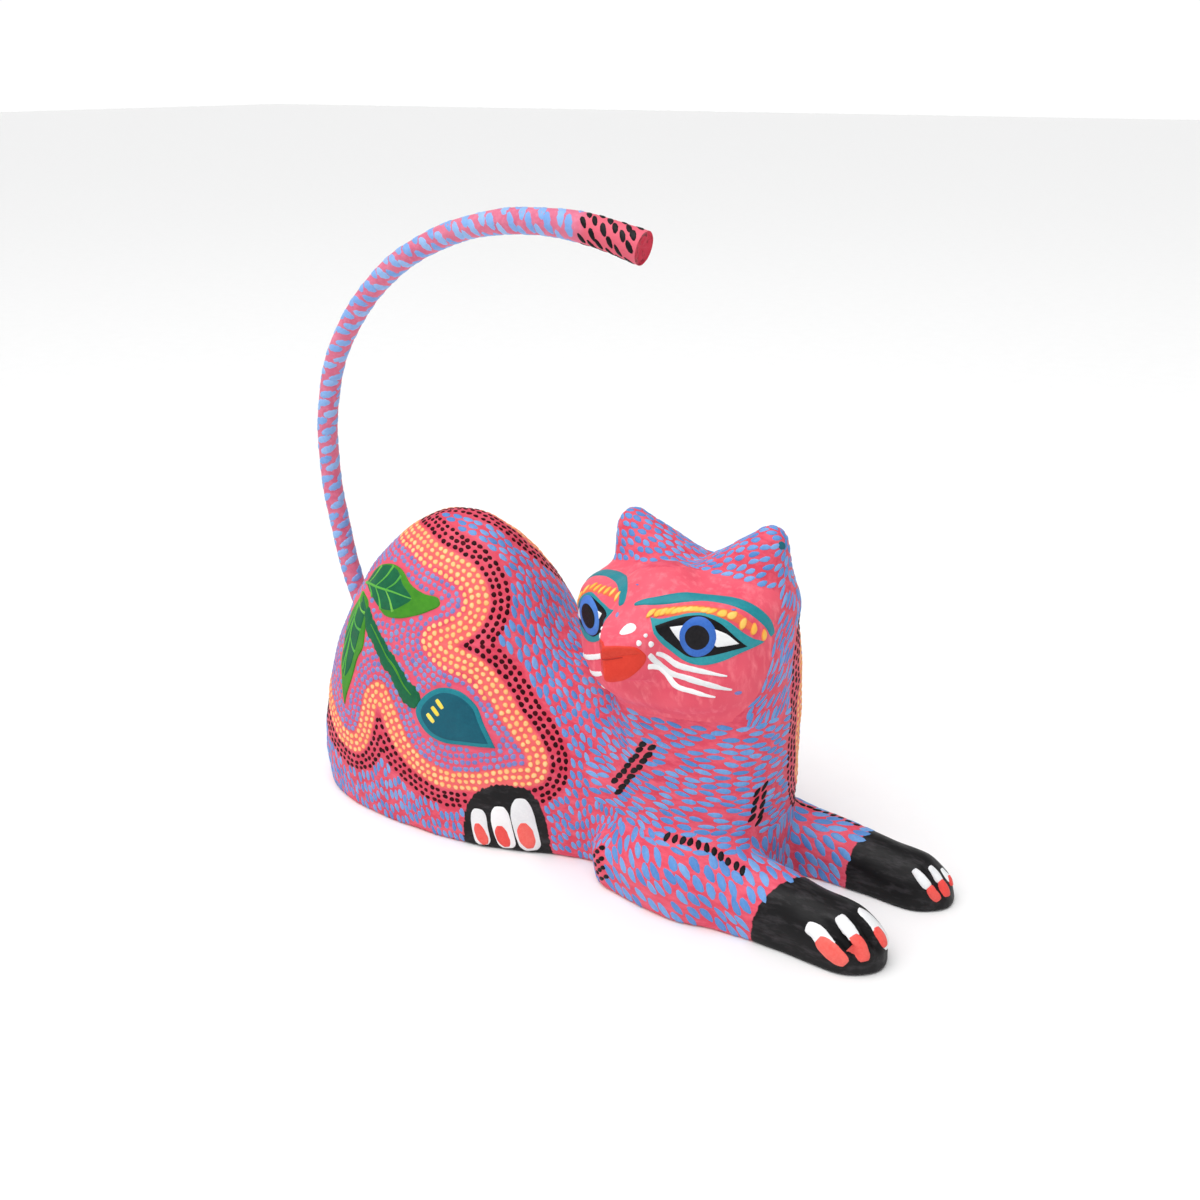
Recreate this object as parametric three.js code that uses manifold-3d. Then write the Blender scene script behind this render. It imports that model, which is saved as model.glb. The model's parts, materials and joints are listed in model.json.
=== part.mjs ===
// Hand-carved, hand-painted wooden cat in the Oaxacan alebrije style, crouching with its forelegs out.
// It is made of two pieces, as the real figure is: one carved block, and a tail whittled from a stick
// whose lower end is pushed into a hole drilled in the back of the rump.
// Millimetres. +X runs to the forepaws, +Y to the cat's left, +Z up. z = 0 is the flat sawn underside.
import * as THREE from 'three';
import { MarchingCubes } from 'three/addons/objects/MarchingCubes.js';
import { mergeVertices } from 'three/addons/utils/BufferGeometryUtils.js';
import Module from 'manifold-3d';

// Facets: the carved block is meshed on a cubic grid, one SKIN outside the wood for paint and facets.
const CELL = 4;
const GRID = 52;
const GRID_CENTRE = [0, -2, 92];
const SKIN = 0.3;
const LEAST_STEP = 0.06;
const MOST_FACETS = 20000;
const WELD = 1e-3;
const TINY = 1e-6;
const ROOM = 400;

// Rounded masses: half sizes along X, Y and up, a half size down (low), and how square they are
// in plan (plan) and from base to top (rise). 2 is an ellipse, larger is boxier. lean is how far a mass
// tips forward for each millimetre up.
const HAUNCH = {
  centre: [-50.5, 0, 10], half: [44.2, 30.5, 76], low: 60, plan: 2.6, rise: 1.85, lean: 0.025,
};
const BELLY = { centre: [-8, 0, 10], half: [32, 20, 40], low: 30, plan: 2.4, rise: 2 };
const NECK = { centre: [28, -0.5, 10], half: [22.8, 21, 64], low: 30, plan: 2.6, rise: 7 };
const BELLY_BLEND = 14;
const NECK_BLEND = 9;
const HEAD_BLEND = 3;
const LEG_BLEND = 3;

// The head looks to the cat's right. In the head's own frame the face looks along -Y.
const HEAD = { centre: [23.4, -2, 70.5], turn: -9, tilt: -6 };
const SKULL = { centre: [-1.2, -1, 0], half: [27.2, 22, 12.9], low: 15, plan: 2.5, rise: 4.2 };
const CHIN = { centre: [0.5, -3.5, -9], half: [23.5, 20, 9.5], low: 9.5, plan: 2.5, rise: 3.2 };
const BRIDGE = { from: [0, -10, 9.5], to: [0, -25, 1.5], radii: [8, 4.5] };
const EAR = { root: [12, 4.8, 5.2], tip: [20.6, 5.2, 20.7], radii: [13.4, 4.3] };
const EAR_HOLLOW = { centre: [18.2, -10.5, 20.4], half: [9, 8.5, 11], low: 11, plan: 2, rise: 2 };
const BRIDGE_BLEND = 7;
const CHIN_BLEND = 4;
const EAR_BLEND = 4;
const HOLLOW_BLEND = 3;
const MUZZLE = { tip: -35, cheek: -28.2, back: -12, half_width: 7, top: 5.2, bottom: -4.9 };

// Forelegs: -1 is the cat's right leg and 1 its left. A paw's tip is its furthest point along X.
const LEGS = [
  { side: -1, tip: 85.8, root: [28, 18.3, 10.6], wrist: [18.9, 5.6], radii: [11.4, 7.4], paw_up: 7.1 },
  { side: 1, tip: 92.8, root: [28, 13.6, 8.2], wrist: [13.5, 4.2], radii: [10, 7.3], paw_up: 5.2 },
];
const ELBOW = { forward: 14.4, shoulder: 34, out: 1, up: 7.8, radius: 8.4, blend: 6 };
const PAW = { length: 12, wrist_back: 11, sink: 1.2, wider: 0.5, plan: 2.2, rise: 2.2, blend: 4 };
// Below this height a leg's sides drop steeply to the ground: a depth under it counts for this share.
const LEG_WALL = { height: 6, share: 0.35 };
const TOE_GROOVE = { radius: 1.6, length: 16, spread: 2.9, back: 2.5, sink: 0.4, slope: 0.75 };

// Tail: its centre line from the bottom of the hole to the cut end, and its radius along that line.
const TAIL_LINE = [
  [-82.3, 34], [-86.7, 46], [-89.2, 51.8], [-92.4, 63], [-94.9, 76], [-96.5, 90], [-95.9, 104.3],
  [-92.7, 118.2], [-85.6, 131.8], [-70.2, 148], [-52.3, 157.9], [-33.8, 162.8], [-17, 163.5],
  [-6, 162.3], [7, 159.2],
];
const TAIL_RADII = [2.5, 2.9, 3.0, 3.0, 3.0, 3.0, 3.0, 3.5, 4.3];
const TAIL_SIDES = 10;
const TAIL_STEPS = 44;
const HOLE = { radius: 3.3, floor_gap: 0.3, reach: 26, sides: 24 };

const wasm = await Module();
wasm.setup();

// ---- distance to each rounded mass, negative inside ----

function rounded(p, form) {
  const [a, b, up] = form.half;
  const z = p[2] - form.centre[2];
  const height = z < 0 ? form.low : up;
  const x = Math.abs(p[0] - form.centre[0] - z * (form.lean ?? 0)) / a + TINY;
  const y = Math.abs(p[1] - form.centre[1]) / b + TINY;
  const h = Math.abs(z) / height + TINY;
  const plan = form.plan;
  const rise = form.rise;
  const rho = (x ** plan + y ** plan) ** (1 / plan);
  const k = (rho ** rise + h ** rise) ** (1 / rise);
  const planSlope = Math.hypot(x ** (plan - 1) / a, y ** (plan - 1) / b) * rho ** (1 - plan);
  const slope = Math.hypot(rho ** (rise - 1) * planSlope, h ** (rise - 1) / height) * k ** (1 - rise);
  return (k - 1) / slope;
}

// Two spheres and the cone that touches both.
function roundCone(p, from, to, radii) {
  const along = to.map((v, i) => v - from[i]);
  const rel = p.map((v, i) => v - from[i]);
  const lengthSquared = along[0] ** 2 + along[1] ** 2 + along[2] ** 2;
  const length = Math.sqrt(lengthSquared);
  const y = (rel[0] * along[0] + rel[1] * along[1] + rel[2] * along[2]) / length;
  const x = Math.hypot(...rel.map((v, i) => v - y * along[i] / length));
  const slope = (radii[0] - radii[1]) / length;
  const flank = Math.sqrt(1 - slope * slope);
  const place = y * flank - x * slope;
  if (place < 0) return Math.hypot(x, y) - radii[0];
  if (place > length * flank) return Math.hypot(x, y - length) - radii[1];
  return x * flank + y * slope - radii[0];
}

function join(a, b, softness) {
  const h = Math.max(softness - Math.abs(a - b), 0) / softness;
  return Math.min(a, b) - h * h * softness * 0.25;
}

function cut(a, b, softness) {
  return -join(-a, b, softness);
}

// ---- the carved block ----

const headTurn = new THREE.Matrix4()
  .makeRotationZ(THREE.MathUtils.degToRad(HEAD.turn))
  .multiply(new THREE.Matrix4().makeRotationY(THREE.MathUtils.degToRad(HEAD.tilt)))
  .setPosition(...HEAD.centre);
const toHead = headTurn.clone().invert();
const scratch = new THREE.Vector3();

function inHeadFrame(p) {
  scratch.set(...p).applyMatrix4(toHead);
  return [scratch.x, scratch.y, scratch.z];
}

function ear(q, side) {
  const mirrored = [q[0] * side, q[1], q[2]];
  const cone = roundCone(mirrored, EAR.root, EAR.tip, EAR.radii);
  return cut(cone, rounded(mirrored, EAR_HOLLOW), HOLLOW_BLEND);
}

function head(p) {
  const q = inHeadFrame(p);
  let d = rounded(q, SKULL);
  d = join(d, roundCone(q, BRIDGE.from, BRIDGE.to, BRIDGE.radii), BRIDGE_BLEND);
  d = join(d, rounded(q, CHIN), CHIN_BLEND);
  d = join(d, ear(q, -1), EAR_BLEND);
  return join(d, ear(q, 1), EAR_BLEND);
}

function foreleg(p, leg) {
  const depth = Math.max(LEG_WALL.height - p[2], 0);
  const walled = [p[0], p[1], p[2] + depth * (1 - LEG_WALL.share)];
  const root = [leg.root[0], leg.side * leg.root[1], leg.root[2]];
  const wrist = [leg.tip - PAW.wrist_back, leg.side * leg.wrist[0], leg.wrist[1]];
  const elbowSide = leg.side * (leg.root[1] + ELBOW.out);
  const elbow = [ELBOW.forward, elbowSide, ELBOW.up];
  const shoulder = [ELBOW.shoulder, elbowSide, root[2] - 1];
  const paw = {
    centre: [leg.tip - PAW.length, wrist[1], wrist[2] - PAW.sink],
    half: [PAW.length, leg.radii[1] + PAW.wider, leg.paw_up],
    low: leg.paw_up,
    plan: PAW.plan,
    rise: PAW.rise,
  };
  let d = roundCone(walled, root, wrist, leg.radii);
  d = join(d, roundCone(walled, elbow, shoulder, [ELBOW.radius, leg.radii[0] - 1]), ELBOW.blend);
  return join(d, rounded(walled, paw), PAW.blend);
}

function block(p) {
  let d = join(rounded(p, HAUNCH), rounded(p, BELLY), BELLY_BLEND);
  d = join(d, rounded(p, NECK), NECK_BLEND);
  d = join(d, head(p), HEAD_BLEND);
  for (const leg of LEGS) d = join(d, foreleg(p, leg), LEG_BLEND);
  return Math.max(d, -p[2] - CELL / 2);
}

// A grid value close to the surface is moved a little away from it, so that no facet is a sliver.
function gridValue(p) {
  const depth = (SKIN - block(p)) / CELL;
  return Math.abs(depth) < LEAST_STEP ? Math.sign(depth) * LEAST_STEP : depth;
}

function blockGeometry() {
  const cubes = new MarchingCubes(GRID, new THREE.MeshStandardMaterial(), false, false, MOST_FACETS);
  const place = (index, axis) => GRID_CENTRE[axis] + (index - GRID / 2) * CELL;
  for (let k = 0; k < GRID; k += 1) {
    for (let j = 0; j < GRID; j += 1) {
      for (let i = 0; i < GRID; i += 1) {
        cubes.field[i + j * GRID + k * GRID * GRID] = gridValue([place(i, 0), place(j, 1), place(k, 2)]);
      }
    }
  }
  cubes.isolation = 0;
  cubes.update();
  const geometry = new THREE.BufferGeometry();
  const positions = cubes.positionArray.slice(0, cubes.count * 3);
  geometry.setAttribute('position', new THREE.BufferAttribute(positions, 3));
  geometry.scale(CELL * GRID / 2, CELL * GRID / 2, CELL * GRID / 2);
  geometry.translate(...GRID_CENTRE);
  return geometry;
}

// ---- booleans ----

function toSolid(geometry) {
  const bare = geometry.index ? geometry.clone() : geometry;
  bare.deleteAttribute('normal');
  bare.deleteAttribute('uv');
  const merged = mergeVertices(bare, WELD);
  return new wasm.Manifold(new wasm.Mesh({
    numProp: 3,
    vertProperties: new Float32Array(merged.attributes.position.array),
    triVerts: new Uint32Array(merged.index.array),
  }));
}

function toGeometry(solid) {
  const mesh = solid.getMesh();
  const geometry = new THREE.BufferGeometry();
  geometry.setAttribute('position', new THREE.BufferAttribute(new Float32Array(mesh.vertProperties), 3));
  geometry.setIndex(new THREE.BufferAttribute(new Uint32Array(mesh.triVerts), 1));
  geometry.computeVertexNormals();
  return geometry;
}

function aboveGround() {
  const room = new THREE.BoxGeometry(ROOM, ROOM, ROOM);
  room.translate(0, 0, ROOM / 2);
  return toSolid(room);
}

// The muzzle is a short prow: a five-sided outline in plan, as deep as the mouth and nose.
function muzzleSolid() {
  const outline = new THREE.Shape();
  outline.moveTo(0, MUZZLE.tip);
  outline.lineTo(MUZZLE.half_width, MUZZLE.cheek);
  outline.lineTo(MUZZLE.half_width, MUZZLE.back);
  outline.lineTo(-MUZZLE.half_width, MUZZLE.back);
  outline.lineTo(-MUZZLE.half_width, MUZZLE.cheek);
  outline.closePath();
  const prow = new THREE.ExtrudeGeometry(outline, { depth: MUZZLE.top - MUZZLE.bottom, bevelEnabled: false });
  prow.translate(0, 0, MUZZLE.bottom);
  prow.applyMatrix4(headTurn);
  return toSolid(prow);
}

// Two V grooves part the three toes of each forepaw.
function toeGrooves(leg) {
  return [-1, 1].map((side) => {
    const groove = new THREE.CylinderGeometry(TOE_GROOVE.radius, TOE_GROOVE.radius, TOE_GROOVE.length, 4);
    groove.rotateZ(Math.PI / 2 + TOE_GROOVE.slope);
    const across = leg.side * leg.wrist[0] + side * TOE_GROOVE.spread;
    groove.translate(leg.tip - TOE_GROOVE.back, across, leg.paw_up - TOE_GROOVE.sink);
    return toSolid(groove);
  });
}

// ---- the tail ----

const tailLine = new THREE.CatmullRomCurve3(
  TAIL_LINE.map(([x, z]) => new THREE.Vector3(x, 0, z)), false, 'centripetal',
);
const holeAxis = tailLine.points[1].clone().sub(tailLine.points[0]).normalize();

function tailRadius(t) {
  const place = t * (TAIL_RADII.length - 1);
  const low = Math.min(Math.floor(place), TAIL_RADII.length - 2);
  return THREE.MathUtils.lerp(TAIL_RADII[low], TAIL_RADII[low + 1], place - low);
}

// A cylinder is bent along the centre line; its flat ends stay as the tail's cut ends.
function tailGeometry() {
  const stick = new THREE.CylinderGeometry(1, 1, 1, TAIL_SIDES, TAIL_STEPS);
  const places = stick.attributes.position;
  const across = new THREE.Vector3(0, 1, 0);
  for (let i = 0; i < places.count; i += 1) {
    const t = places.getY(i) + 0.5;
    const outward = across.clone().cross(tailLine.getTangentAt(t));
    const radius = tailRadius(t);
    const point = tailLine.getPointAt(t)
      .addScaledVector(across, places.getX(i) * radius)
      .addScaledVector(outward, places.getZ(i) * radius);
    places.setXYZ(i, point.x, point.y, point.z);
  }
  return toGeometry(toSolid(stick));
}

function holeSolid() {
  const drill = new THREE.CylinderGeometry(HOLE.radius, HOLE.radius, HOLE.reach, HOLE.sides);
  drill.applyQuaternion(new THREE.Quaternion().setFromUnitVectors(new THREE.Vector3(0, 1, 0), holeAxis));
  const middle = tailLine.points[0].clone().addScaledVector(holeAxis, HOLE.reach / 2 - HOLE.floor_gap);
  drill.translate(middle.x, middle.y, middle.z);
  return toSolid(drill);
}

function bodyGeometry() {
  let solid = toSolid(blockGeometry()).add(muzzleSolid()).intersect(aboveGround());
  solid = solid.subtract(holeSolid());
  for (const leg of LEGS) {
    for (const groove of toeGrooves(leg)) solid = solid.subtract(groove);
  }
  return toGeometry(solid);
}

// ---- the figure ----

function piece(name, geometry, colour) {
  const material = new THREE.MeshStandardMaterial({ color: colour, roughness: 0.55, metalness: 0 });
  const mesh = new THREE.Mesh(geometry, material);
  mesh.name = name;
  return mesh;
}

const PINK = 0xee5569;
const ROSE = 0xd65d7e;
const figure = new THREE.Group();
figure.add(piece('carved_body', bodyGeometry(), PINK));
figure.add(piece('tail', tailGeometry(), ROSE));

export default figure;
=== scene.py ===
# Hand-carved, hand-painted wooden cat in the Oaxacan alebrije style.
# The carved block and the tail are fine meshes of the same forms as the CAD, and every painted mark is a
# thin raised film of acrylic that rides on the wood under it.
# Lengths are millimetres until a mesh is made. +X runs to the forepaws, +Y to the cat's left, +Z up.
import json
import math

import bpy
import numpy as np
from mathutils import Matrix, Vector

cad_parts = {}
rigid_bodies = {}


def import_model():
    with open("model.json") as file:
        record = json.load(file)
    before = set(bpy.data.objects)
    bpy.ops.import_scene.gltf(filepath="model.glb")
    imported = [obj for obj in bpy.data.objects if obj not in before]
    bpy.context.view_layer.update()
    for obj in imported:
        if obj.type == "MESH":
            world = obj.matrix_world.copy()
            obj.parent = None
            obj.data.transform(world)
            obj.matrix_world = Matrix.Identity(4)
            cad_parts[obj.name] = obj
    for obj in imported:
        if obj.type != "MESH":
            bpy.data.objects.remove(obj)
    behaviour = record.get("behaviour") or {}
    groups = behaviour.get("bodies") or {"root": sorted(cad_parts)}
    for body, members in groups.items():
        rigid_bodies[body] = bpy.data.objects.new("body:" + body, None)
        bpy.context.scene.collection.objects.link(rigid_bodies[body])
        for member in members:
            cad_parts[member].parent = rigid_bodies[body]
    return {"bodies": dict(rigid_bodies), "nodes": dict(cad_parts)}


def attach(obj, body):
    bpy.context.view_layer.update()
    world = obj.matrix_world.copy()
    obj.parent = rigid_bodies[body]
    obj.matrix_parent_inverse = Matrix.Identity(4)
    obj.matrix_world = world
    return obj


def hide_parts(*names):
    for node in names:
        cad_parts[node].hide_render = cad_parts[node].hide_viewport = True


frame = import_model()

kept = [*frame["nodes"].values(), *frame["bodies"].values()]
for item in list(bpy.context.scene.objects):
    if item not in kept:
        bpy.data.objects.remove(item)
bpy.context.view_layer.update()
MM = 0.001
rng = np.random.default_rng(11)

CELL = 0.8
GRID_LOW = (-97.6, -40.0, -3.2)
GRID_HIGH = (96.0, 36.8, 102.4)

# ---------------------------------------------------------------- the carved form

HAUNCH = dict(centre=(-50.5, 0, 10), half=(44.2, 30.5, 76), low=60, plan=2.6, rise=1.85, lean=0.025)
BELLY = dict(centre=(-8, 0, 10), half=(32, 20, 40), low=30, plan=2.4, rise=2.0)
NECK = dict(centre=(28, -0.5, 10), half=(22.8, 21, 64), low=30, plan=2.6, rise=7.0)
HEAD_CENTRE = np.array((23.4, -2.0, 70.5))
HEAD_TURN = math.radians(-9)
HEAD_TILT = math.radians(-6)
SKULL = dict(centre=(-1.2, -1, 0), half=(27.2, 22, 12.9), low=15, plan=2.5, rise=4.2)
CHIN = dict(centre=(0.5, -3.5, -9), half=(23.5, 20, 9.5), low=9.5, plan=2.5, rise=3.2)
EAR = dict(start=(12, 4.8, 5.2), end=(20.6, 5.2, 20.7), r0=13.4, r1=4.3)
EAR_HOLLOW = dict(centre=(18.2, -10.5, 20.4), half=(9, 8.5, 11), low=11, plan=2.0, rise=2.0)
LEGS = (
    dict(side=-1, tip=85.8, root=(28, 18.3, 10.6), wrist=(18.9, 5.6), radii=(11.4, 7.4), paw_up=7.1),
    dict(side=1, tip=92.8, root=(28, 13.6, 8.2), wrist=(13.5, 4.2), radii=(10, 7.3), paw_up=5.2),
)
ELBOW = dict(forward=14.4, shoulder=34, out=1, up=7.8, radius=8.4, blend=6)
PAW = dict(length=12, wrist_back=11, sink=1.2, wider=0.5, plan=2.2, rise=2.2, blend=4)
# Below this height a leg's sides drop steeply to the ground.
LEG_WALL = dict(height=6, share=0.35)
TAIL_LINE = (
    (-82.3, 34), (-86.7, 46), (-89.2, 51.8), (-92.4, 63), (-94.9, 76), (-96.5, 90), (-95.9, 104.3),
    (-92.7, 118.2), (-85.6, 131.8), (-70.2, 148), (-52.3, 157.9), (-33.8, 162.8), (-17, 163.5),
    (-6, 162.3), (7, 159.2),
)
TAIL_RADII = (2.5, 2.9, 3.0, 3.0, 3.0, 3.0, 3.0, 3.5, 4.3)
HOLE_RADIUS = 3.3


def norm(v):
    return np.sqrt((v * v).sum(-1))


def unit(v):
    return v / np.maximum(norm(v), 1e-9)[..., None]


def rounded(p, centre, half, low, plan, rise, lean=0.0):
    z = p[:, 2] - centre[2]
    height = np.where(z < 0, low, half[2])
    x = np.abs(p[:, 0] - centre[0] - z * lean) / half[0] + 1e-6
    y = np.abs(p[:, 1] - centre[1]) / half[1] + 1e-6
    h = np.abs(z) / height + 1e-6
    rho = (x ** plan + y ** plan) ** (1 / plan)
    k = (rho ** rise + h ** rise) ** (1 / rise)
    plan_slope = np.hypot(x ** (plan - 1) / half[0], y ** (plan - 1) / half[1]) * rho ** (1 - plan)
    slope = np.hypot(rho ** (rise - 1) * plan_slope, h ** (rise - 1) / height) * k ** (1 - rise)
    return (k - 1) / slope


def round_cone(p, start, end, r0, r1):
    start = np.array(start, float)
    along = np.array(end, float) - start
    size = math.sqrt(along @ along)
    rel = p - start
    y = rel @ along / size
    x = norm(rel - y[:, None] * along / size)
    slope = (r0 - r1) / size
    flank = math.sqrt(1 - slope * slope)
    place = y * flank - x * slope
    return np.where(
        place < 0, np.hypot(x, y) - r0,
        np.where(place > size * flank, np.hypot(x, y - size) - r1, x * flank + y * slope - r0),
    )


def join(a, b, soft):
    h = np.maximum(soft - np.abs(a - b), 0) / soft
    return np.minimum(a, b) - h * h * soft * 0.25


def cut(a, b, soft):
    return -join(-a, b, soft)


def turn_matrix():
    a, b = HEAD_TURN, HEAD_TILT
    about_z = np.array(((math.cos(a), -math.sin(a), 0), (math.sin(a), math.cos(a), 0), (0, 0, 1)))
    about_y = np.array(((math.cos(b), 0, math.sin(b)), (0, 1, 0), (-math.sin(b), 0, math.cos(b))))
    return about_z @ about_y


HEAD_AXES = turn_matrix()


def to_head(p):
    return (p - HEAD_CENTRE) @ HEAD_AXES


def from_head(q):
    return q @ HEAD_AXES.T + HEAD_CENTRE


# The muzzle is a short prow with its lips in front. Its under edge drops a little towards the tip.
def muzzle(q):
    x = np.abs(q[:, 0])
    y = q[:, 1] + 34.8
    z = q[:, 2] - 0.2
    flank = x * 0.72 - y * 0.69
    over = z - 4.3 - 0.12 * y
    under = -z - 5.2 - 0.10 * y
    d = -join(-flank, join(-over, -under, 1.2), 2.0)
    d = -join(-d, -(x - 6.8), 2.5)
    return -join(-d, -(y - 22), 2.0)


def ear(q, side):
    q = q * np.array((side, 1.0, 1.0))
    return cut(round_cone(q, **EAR), rounded(q, **EAR_HOLLOW), 3)


def head(p):
    q = to_head(p)
    d = rounded(q, **SKULL)
    d = join(d, round_cone(q, (0, -10, 9.5), (0, -25, 1.5), 8, 4.5), 7)
    d = join(d, rounded(q, **CHIN), 4)
    d = join(d, muzzle(q), 3.5)
    d = join(d, ear(q, -1), 4)
    return join(d, ear(q, 1), 4)


def foreleg(p, leg):
    depth = np.maximum(LEG_WALL["height"] - p[:, 2], 0)
    p = p + depth[:, None] * (0, 0, 1 - LEG_WALL["share"])
    side = leg["side"]
    r0, r1 = leg["radii"]
    root = (leg["root"][0], side * leg["root"][1], leg["root"][2])
    wrist = (leg["tip"] - PAW["wrist_back"], side * leg["wrist"][0], leg["wrist"][1])
    out = side * (leg["root"][1] + ELBOW["out"])
    elbow_at = (ELBOW["forward"], out, ELBOW["up"])
    shoulder = (ELBOW["shoulder"], out, root[2] - 1)
    elbow = round_cone(p, elbow_at, shoulder, ELBOW["radius"], r0 - 1)
    paw = rounded(
        p, (leg["tip"] - PAW["length"], wrist[1], wrist[2] - PAW["sink"]),
        (PAW["length"], r1 + PAW["wider"], leg["paw_up"]), leg["paw_up"], PAW["plan"], PAW["rise"],
    )
    d = join(round_cone(p, root, wrist, r0, r1), elbow, ELBOW["blend"])
    return join(d, paw, PAW["blend"])


# Knife facets: a slow, shallow unevenness over the whole block.
def knife(p):
    x, y, z = p[:, 0], p[:, 1], p[:, 2]
    wave = np.sin(x * 0.43 + 1.7 * np.sin(z * 0.21)) * np.sin(z * 0.37 + 1.3 * np.sin(y * 0.29))
    wave += 0.6 * np.sin(y * 0.61 + 0.9 * np.sin(x * 0.33)) * np.sin((x + z) * 0.27)
    return 0.16 * wave


# V cuts between the toes of the forepaws.
GROOVES = (
    ((71.5, -25, 12.6), (84, -26.4, 4.2)), ((77, -20.8, 14.2), (86.4, -22.2, 5.6)),
    ((85, 10.2, 11.4), (92.6, 9.4, 3.8)), ((88, 13.8, 11.2), (93.6, 13.2, 4.6)),
)

tail_axis = unit(np.array((TAIL_LINE[1][0] - TAIL_LINE[0][0], 0, TAIL_LINE[1][1] - TAIL_LINE[0][1])))
tail_foot = np.array((TAIL_LINE[0][0], 0, TAIL_LINE[0][1]))


def hole_distance(p):
    rel = p - tail_foot
    y = rel @ tail_axis
    return norm(rel - y[:, None] * tail_axis), y


def block(p):
    d = join(rounded(p, **HAUNCH), rounded(p, **BELLY), 14)
    d = join(d, rounded(p, **NECK), 9)
    d = join(d, head(p), 3)
    for leg in LEGS:
        d = join(d, foreleg(p, leg), 3)
    d = d + knife(p)
    for start, end in GROOVES:
        d = cut(d, round_cone(p, start, end, 1.0, 1.3), 0.8)
    d = -join(-d, p[:, 2], 0.7)
    away, y = hole_distance(p)
    return cut(d, np.maximum(away - HOLE_RADIUS + 0.05, -y - 0.3), 0.25)


# ---------------------------------------------------------------- distance grid

class Grid:
    """The block's distance on a grid, read between grid points."""

    def __init__(self):
        self.low = np.array(GRID_LOW)
        coarse = 4
        n = np.ceil((np.array(GRID_HIGH) - self.low) / (CELL * coarse)).astype(int)
        rough = self.values(n + 1, CELL * coarse)
        near = np.abs(rough) < CELL * coarse * 2.2
        shape = n * coarse + 1
        index = [np.minimum(np.rint(np.arange(s) / coarse).astype(int), n[a]) for a, s in enumerate(shape)]
        self.f = rough[np.ix_(*index)].copy()
        wanted = np.argwhere(near[np.ix_(*index)])
        for k in range(0, len(wanted), 200000):
            part = wanted[k:k + 200000]
            self.f[tuple(part.T)] = block(self.low + part * CELL)
        self.shape = np.array(self.f.shape)

    def values(self, shape, step):
        cells = np.stack(np.meshgrid(*[np.arange(s) for s in shape], indexing="ij"), -1).reshape(-1, 3)
        parts = [block(self.low + cells[k:k + 200000] * step) for k in range(0, len(cells), 200000)]
        return np.concatenate(parts).reshape(shape)

    def at(self, p):
        u = np.clip((p - self.low) / CELL, 0.001, self.shape - 1.001)
        i = u.astype(int)
        t = u - i
        f = self.f
        x, y, z = i.T
        a, b, c = t.T
        low = (f[x, y, z] * (1 - a) + f[x + 1, y, z] * a) * (1 - b)
        low = low + (f[x, y + 1, z] * (1 - a) + f[x + 1, y + 1, z] * a) * b
        high = (f[x, y, z + 1] * (1 - a) + f[x + 1, y, z + 1] * a) * (1 - b)
        high = high + (f[x, y + 1, z + 1] * (1 - a) + f[x + 1, y + 1, z + 1] * a) * b
        return low * (1 - c) + high * c

    def slope(self, p, step=0.7):
        out = np.empty_like(p)
        for axis in range(3):
            e = np.zeros(3)
            e[axis] = step
            out[:, axis] = (self.at(p + e) - self.at(p - e)) / (2 * step)
        return out


grid = Grid()


def settle(p, steps=3):
    """Moves points to the nearest wood surface, and returns them with the surface's normals."""
    p = np.array(p, float)
    for _ in range(steps):
        g = grid.slope(p)
        p -= (grid.at(p) / np.maximum((g * g).sum(-1), 0.25))[:, None] * g
    return p, unit(grid.slope(p))


def surface_net():
    """Vertices and quads of the grid's zero level."""
    f = grid.f
    inside = f < 0
    shape = f.shape
    total = np.zeros((f.size, 3))
    count = np.zeros(f.size)
    quads = []
    for axis in range(3):
        first = [slice(None)] * 3
        second = [slice(None)] * 3
        first[axis] = slice(None, -1)
        second[axis] = slice(1, None)
        crossing = inside[tuple(first)] != inside[tuple(second)]
        ijk = np.argwhere(crossing)
        step = np.zeros(3, int)
        step[axis] = 1
        fa = f[tuple(ijk.T)]
        fb = f[tuple((ijk + step).T)]
        place = ijk + (fa / (fa - fb))[:, None] * step
        u, v = (axis + 1) % 3, (axis + 2) % 3
        corners = []
        for du, dv in ((0, 0), (1, 0), (1, 1), (0, 1)):
            cell = ijk.copy()
            cell[:, u] -= du
            cell[:, v] -= dv
            key = np.ravel_multi_index(tuple(cell.T), shape)
            corners.append(key)
            for k in range(3):
                total[:, k] += np.bincount(key, weights=place[:, k], minlength=f.size)
            count += np.bincount(key, minlength=f.size)
        quad = np.stack(corners, 1)
        quads.append(np.where((fa < 0)[:, None], quad, quad[:, ::-1]))
    quads = np.concatenate(quads)
    used = np.flatnonzero(count)
    number = np.zeros(f.size, int)
    number[used] = np.arange(len(used))
    vertices = grid.low + total[used] / count[used][:, None] * CELL
    return vertices, number[quads]


raw, QUADS = surface_net()
settled, _ = settle(raw, 2)
drift = settled - raw
drift *= np.minimum(1, 0.6 * CELL / np.maximum(norm(drift), 1e-9))[:, None]
SKIN = raw + drift
TRIANGLES = np.concatenate((QUADS[:, (0, 1, 2)], QUADS[:, (0, 2, 3)]))

# ---------------------------------------------------------------- pieces


def new_piece(name, vertices, faces, material, body, fields):
    """faces is a list of index arrays, and fields holds a value for each vertex under each name."""
    mesh = bpy.data.meshes.new(name)
    mesh.from_pydata((np.asarray(vertices) * MM).tolist(), [], [f for a in faces for f in a.tolist()])
    for key, values in fields.items():
        mesh.attributes.new(key, "FLOAT", "POINT").data.foreach_set("value", np.asarray(values, np.float32))
    mesh.shade_smooth()
    mesh.materials.append(material)
    piece = bpy.data.objects.new(name, mesh)
    bpy.context.scene.collection.objects.link(piece)
    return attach(piece, body)


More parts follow.
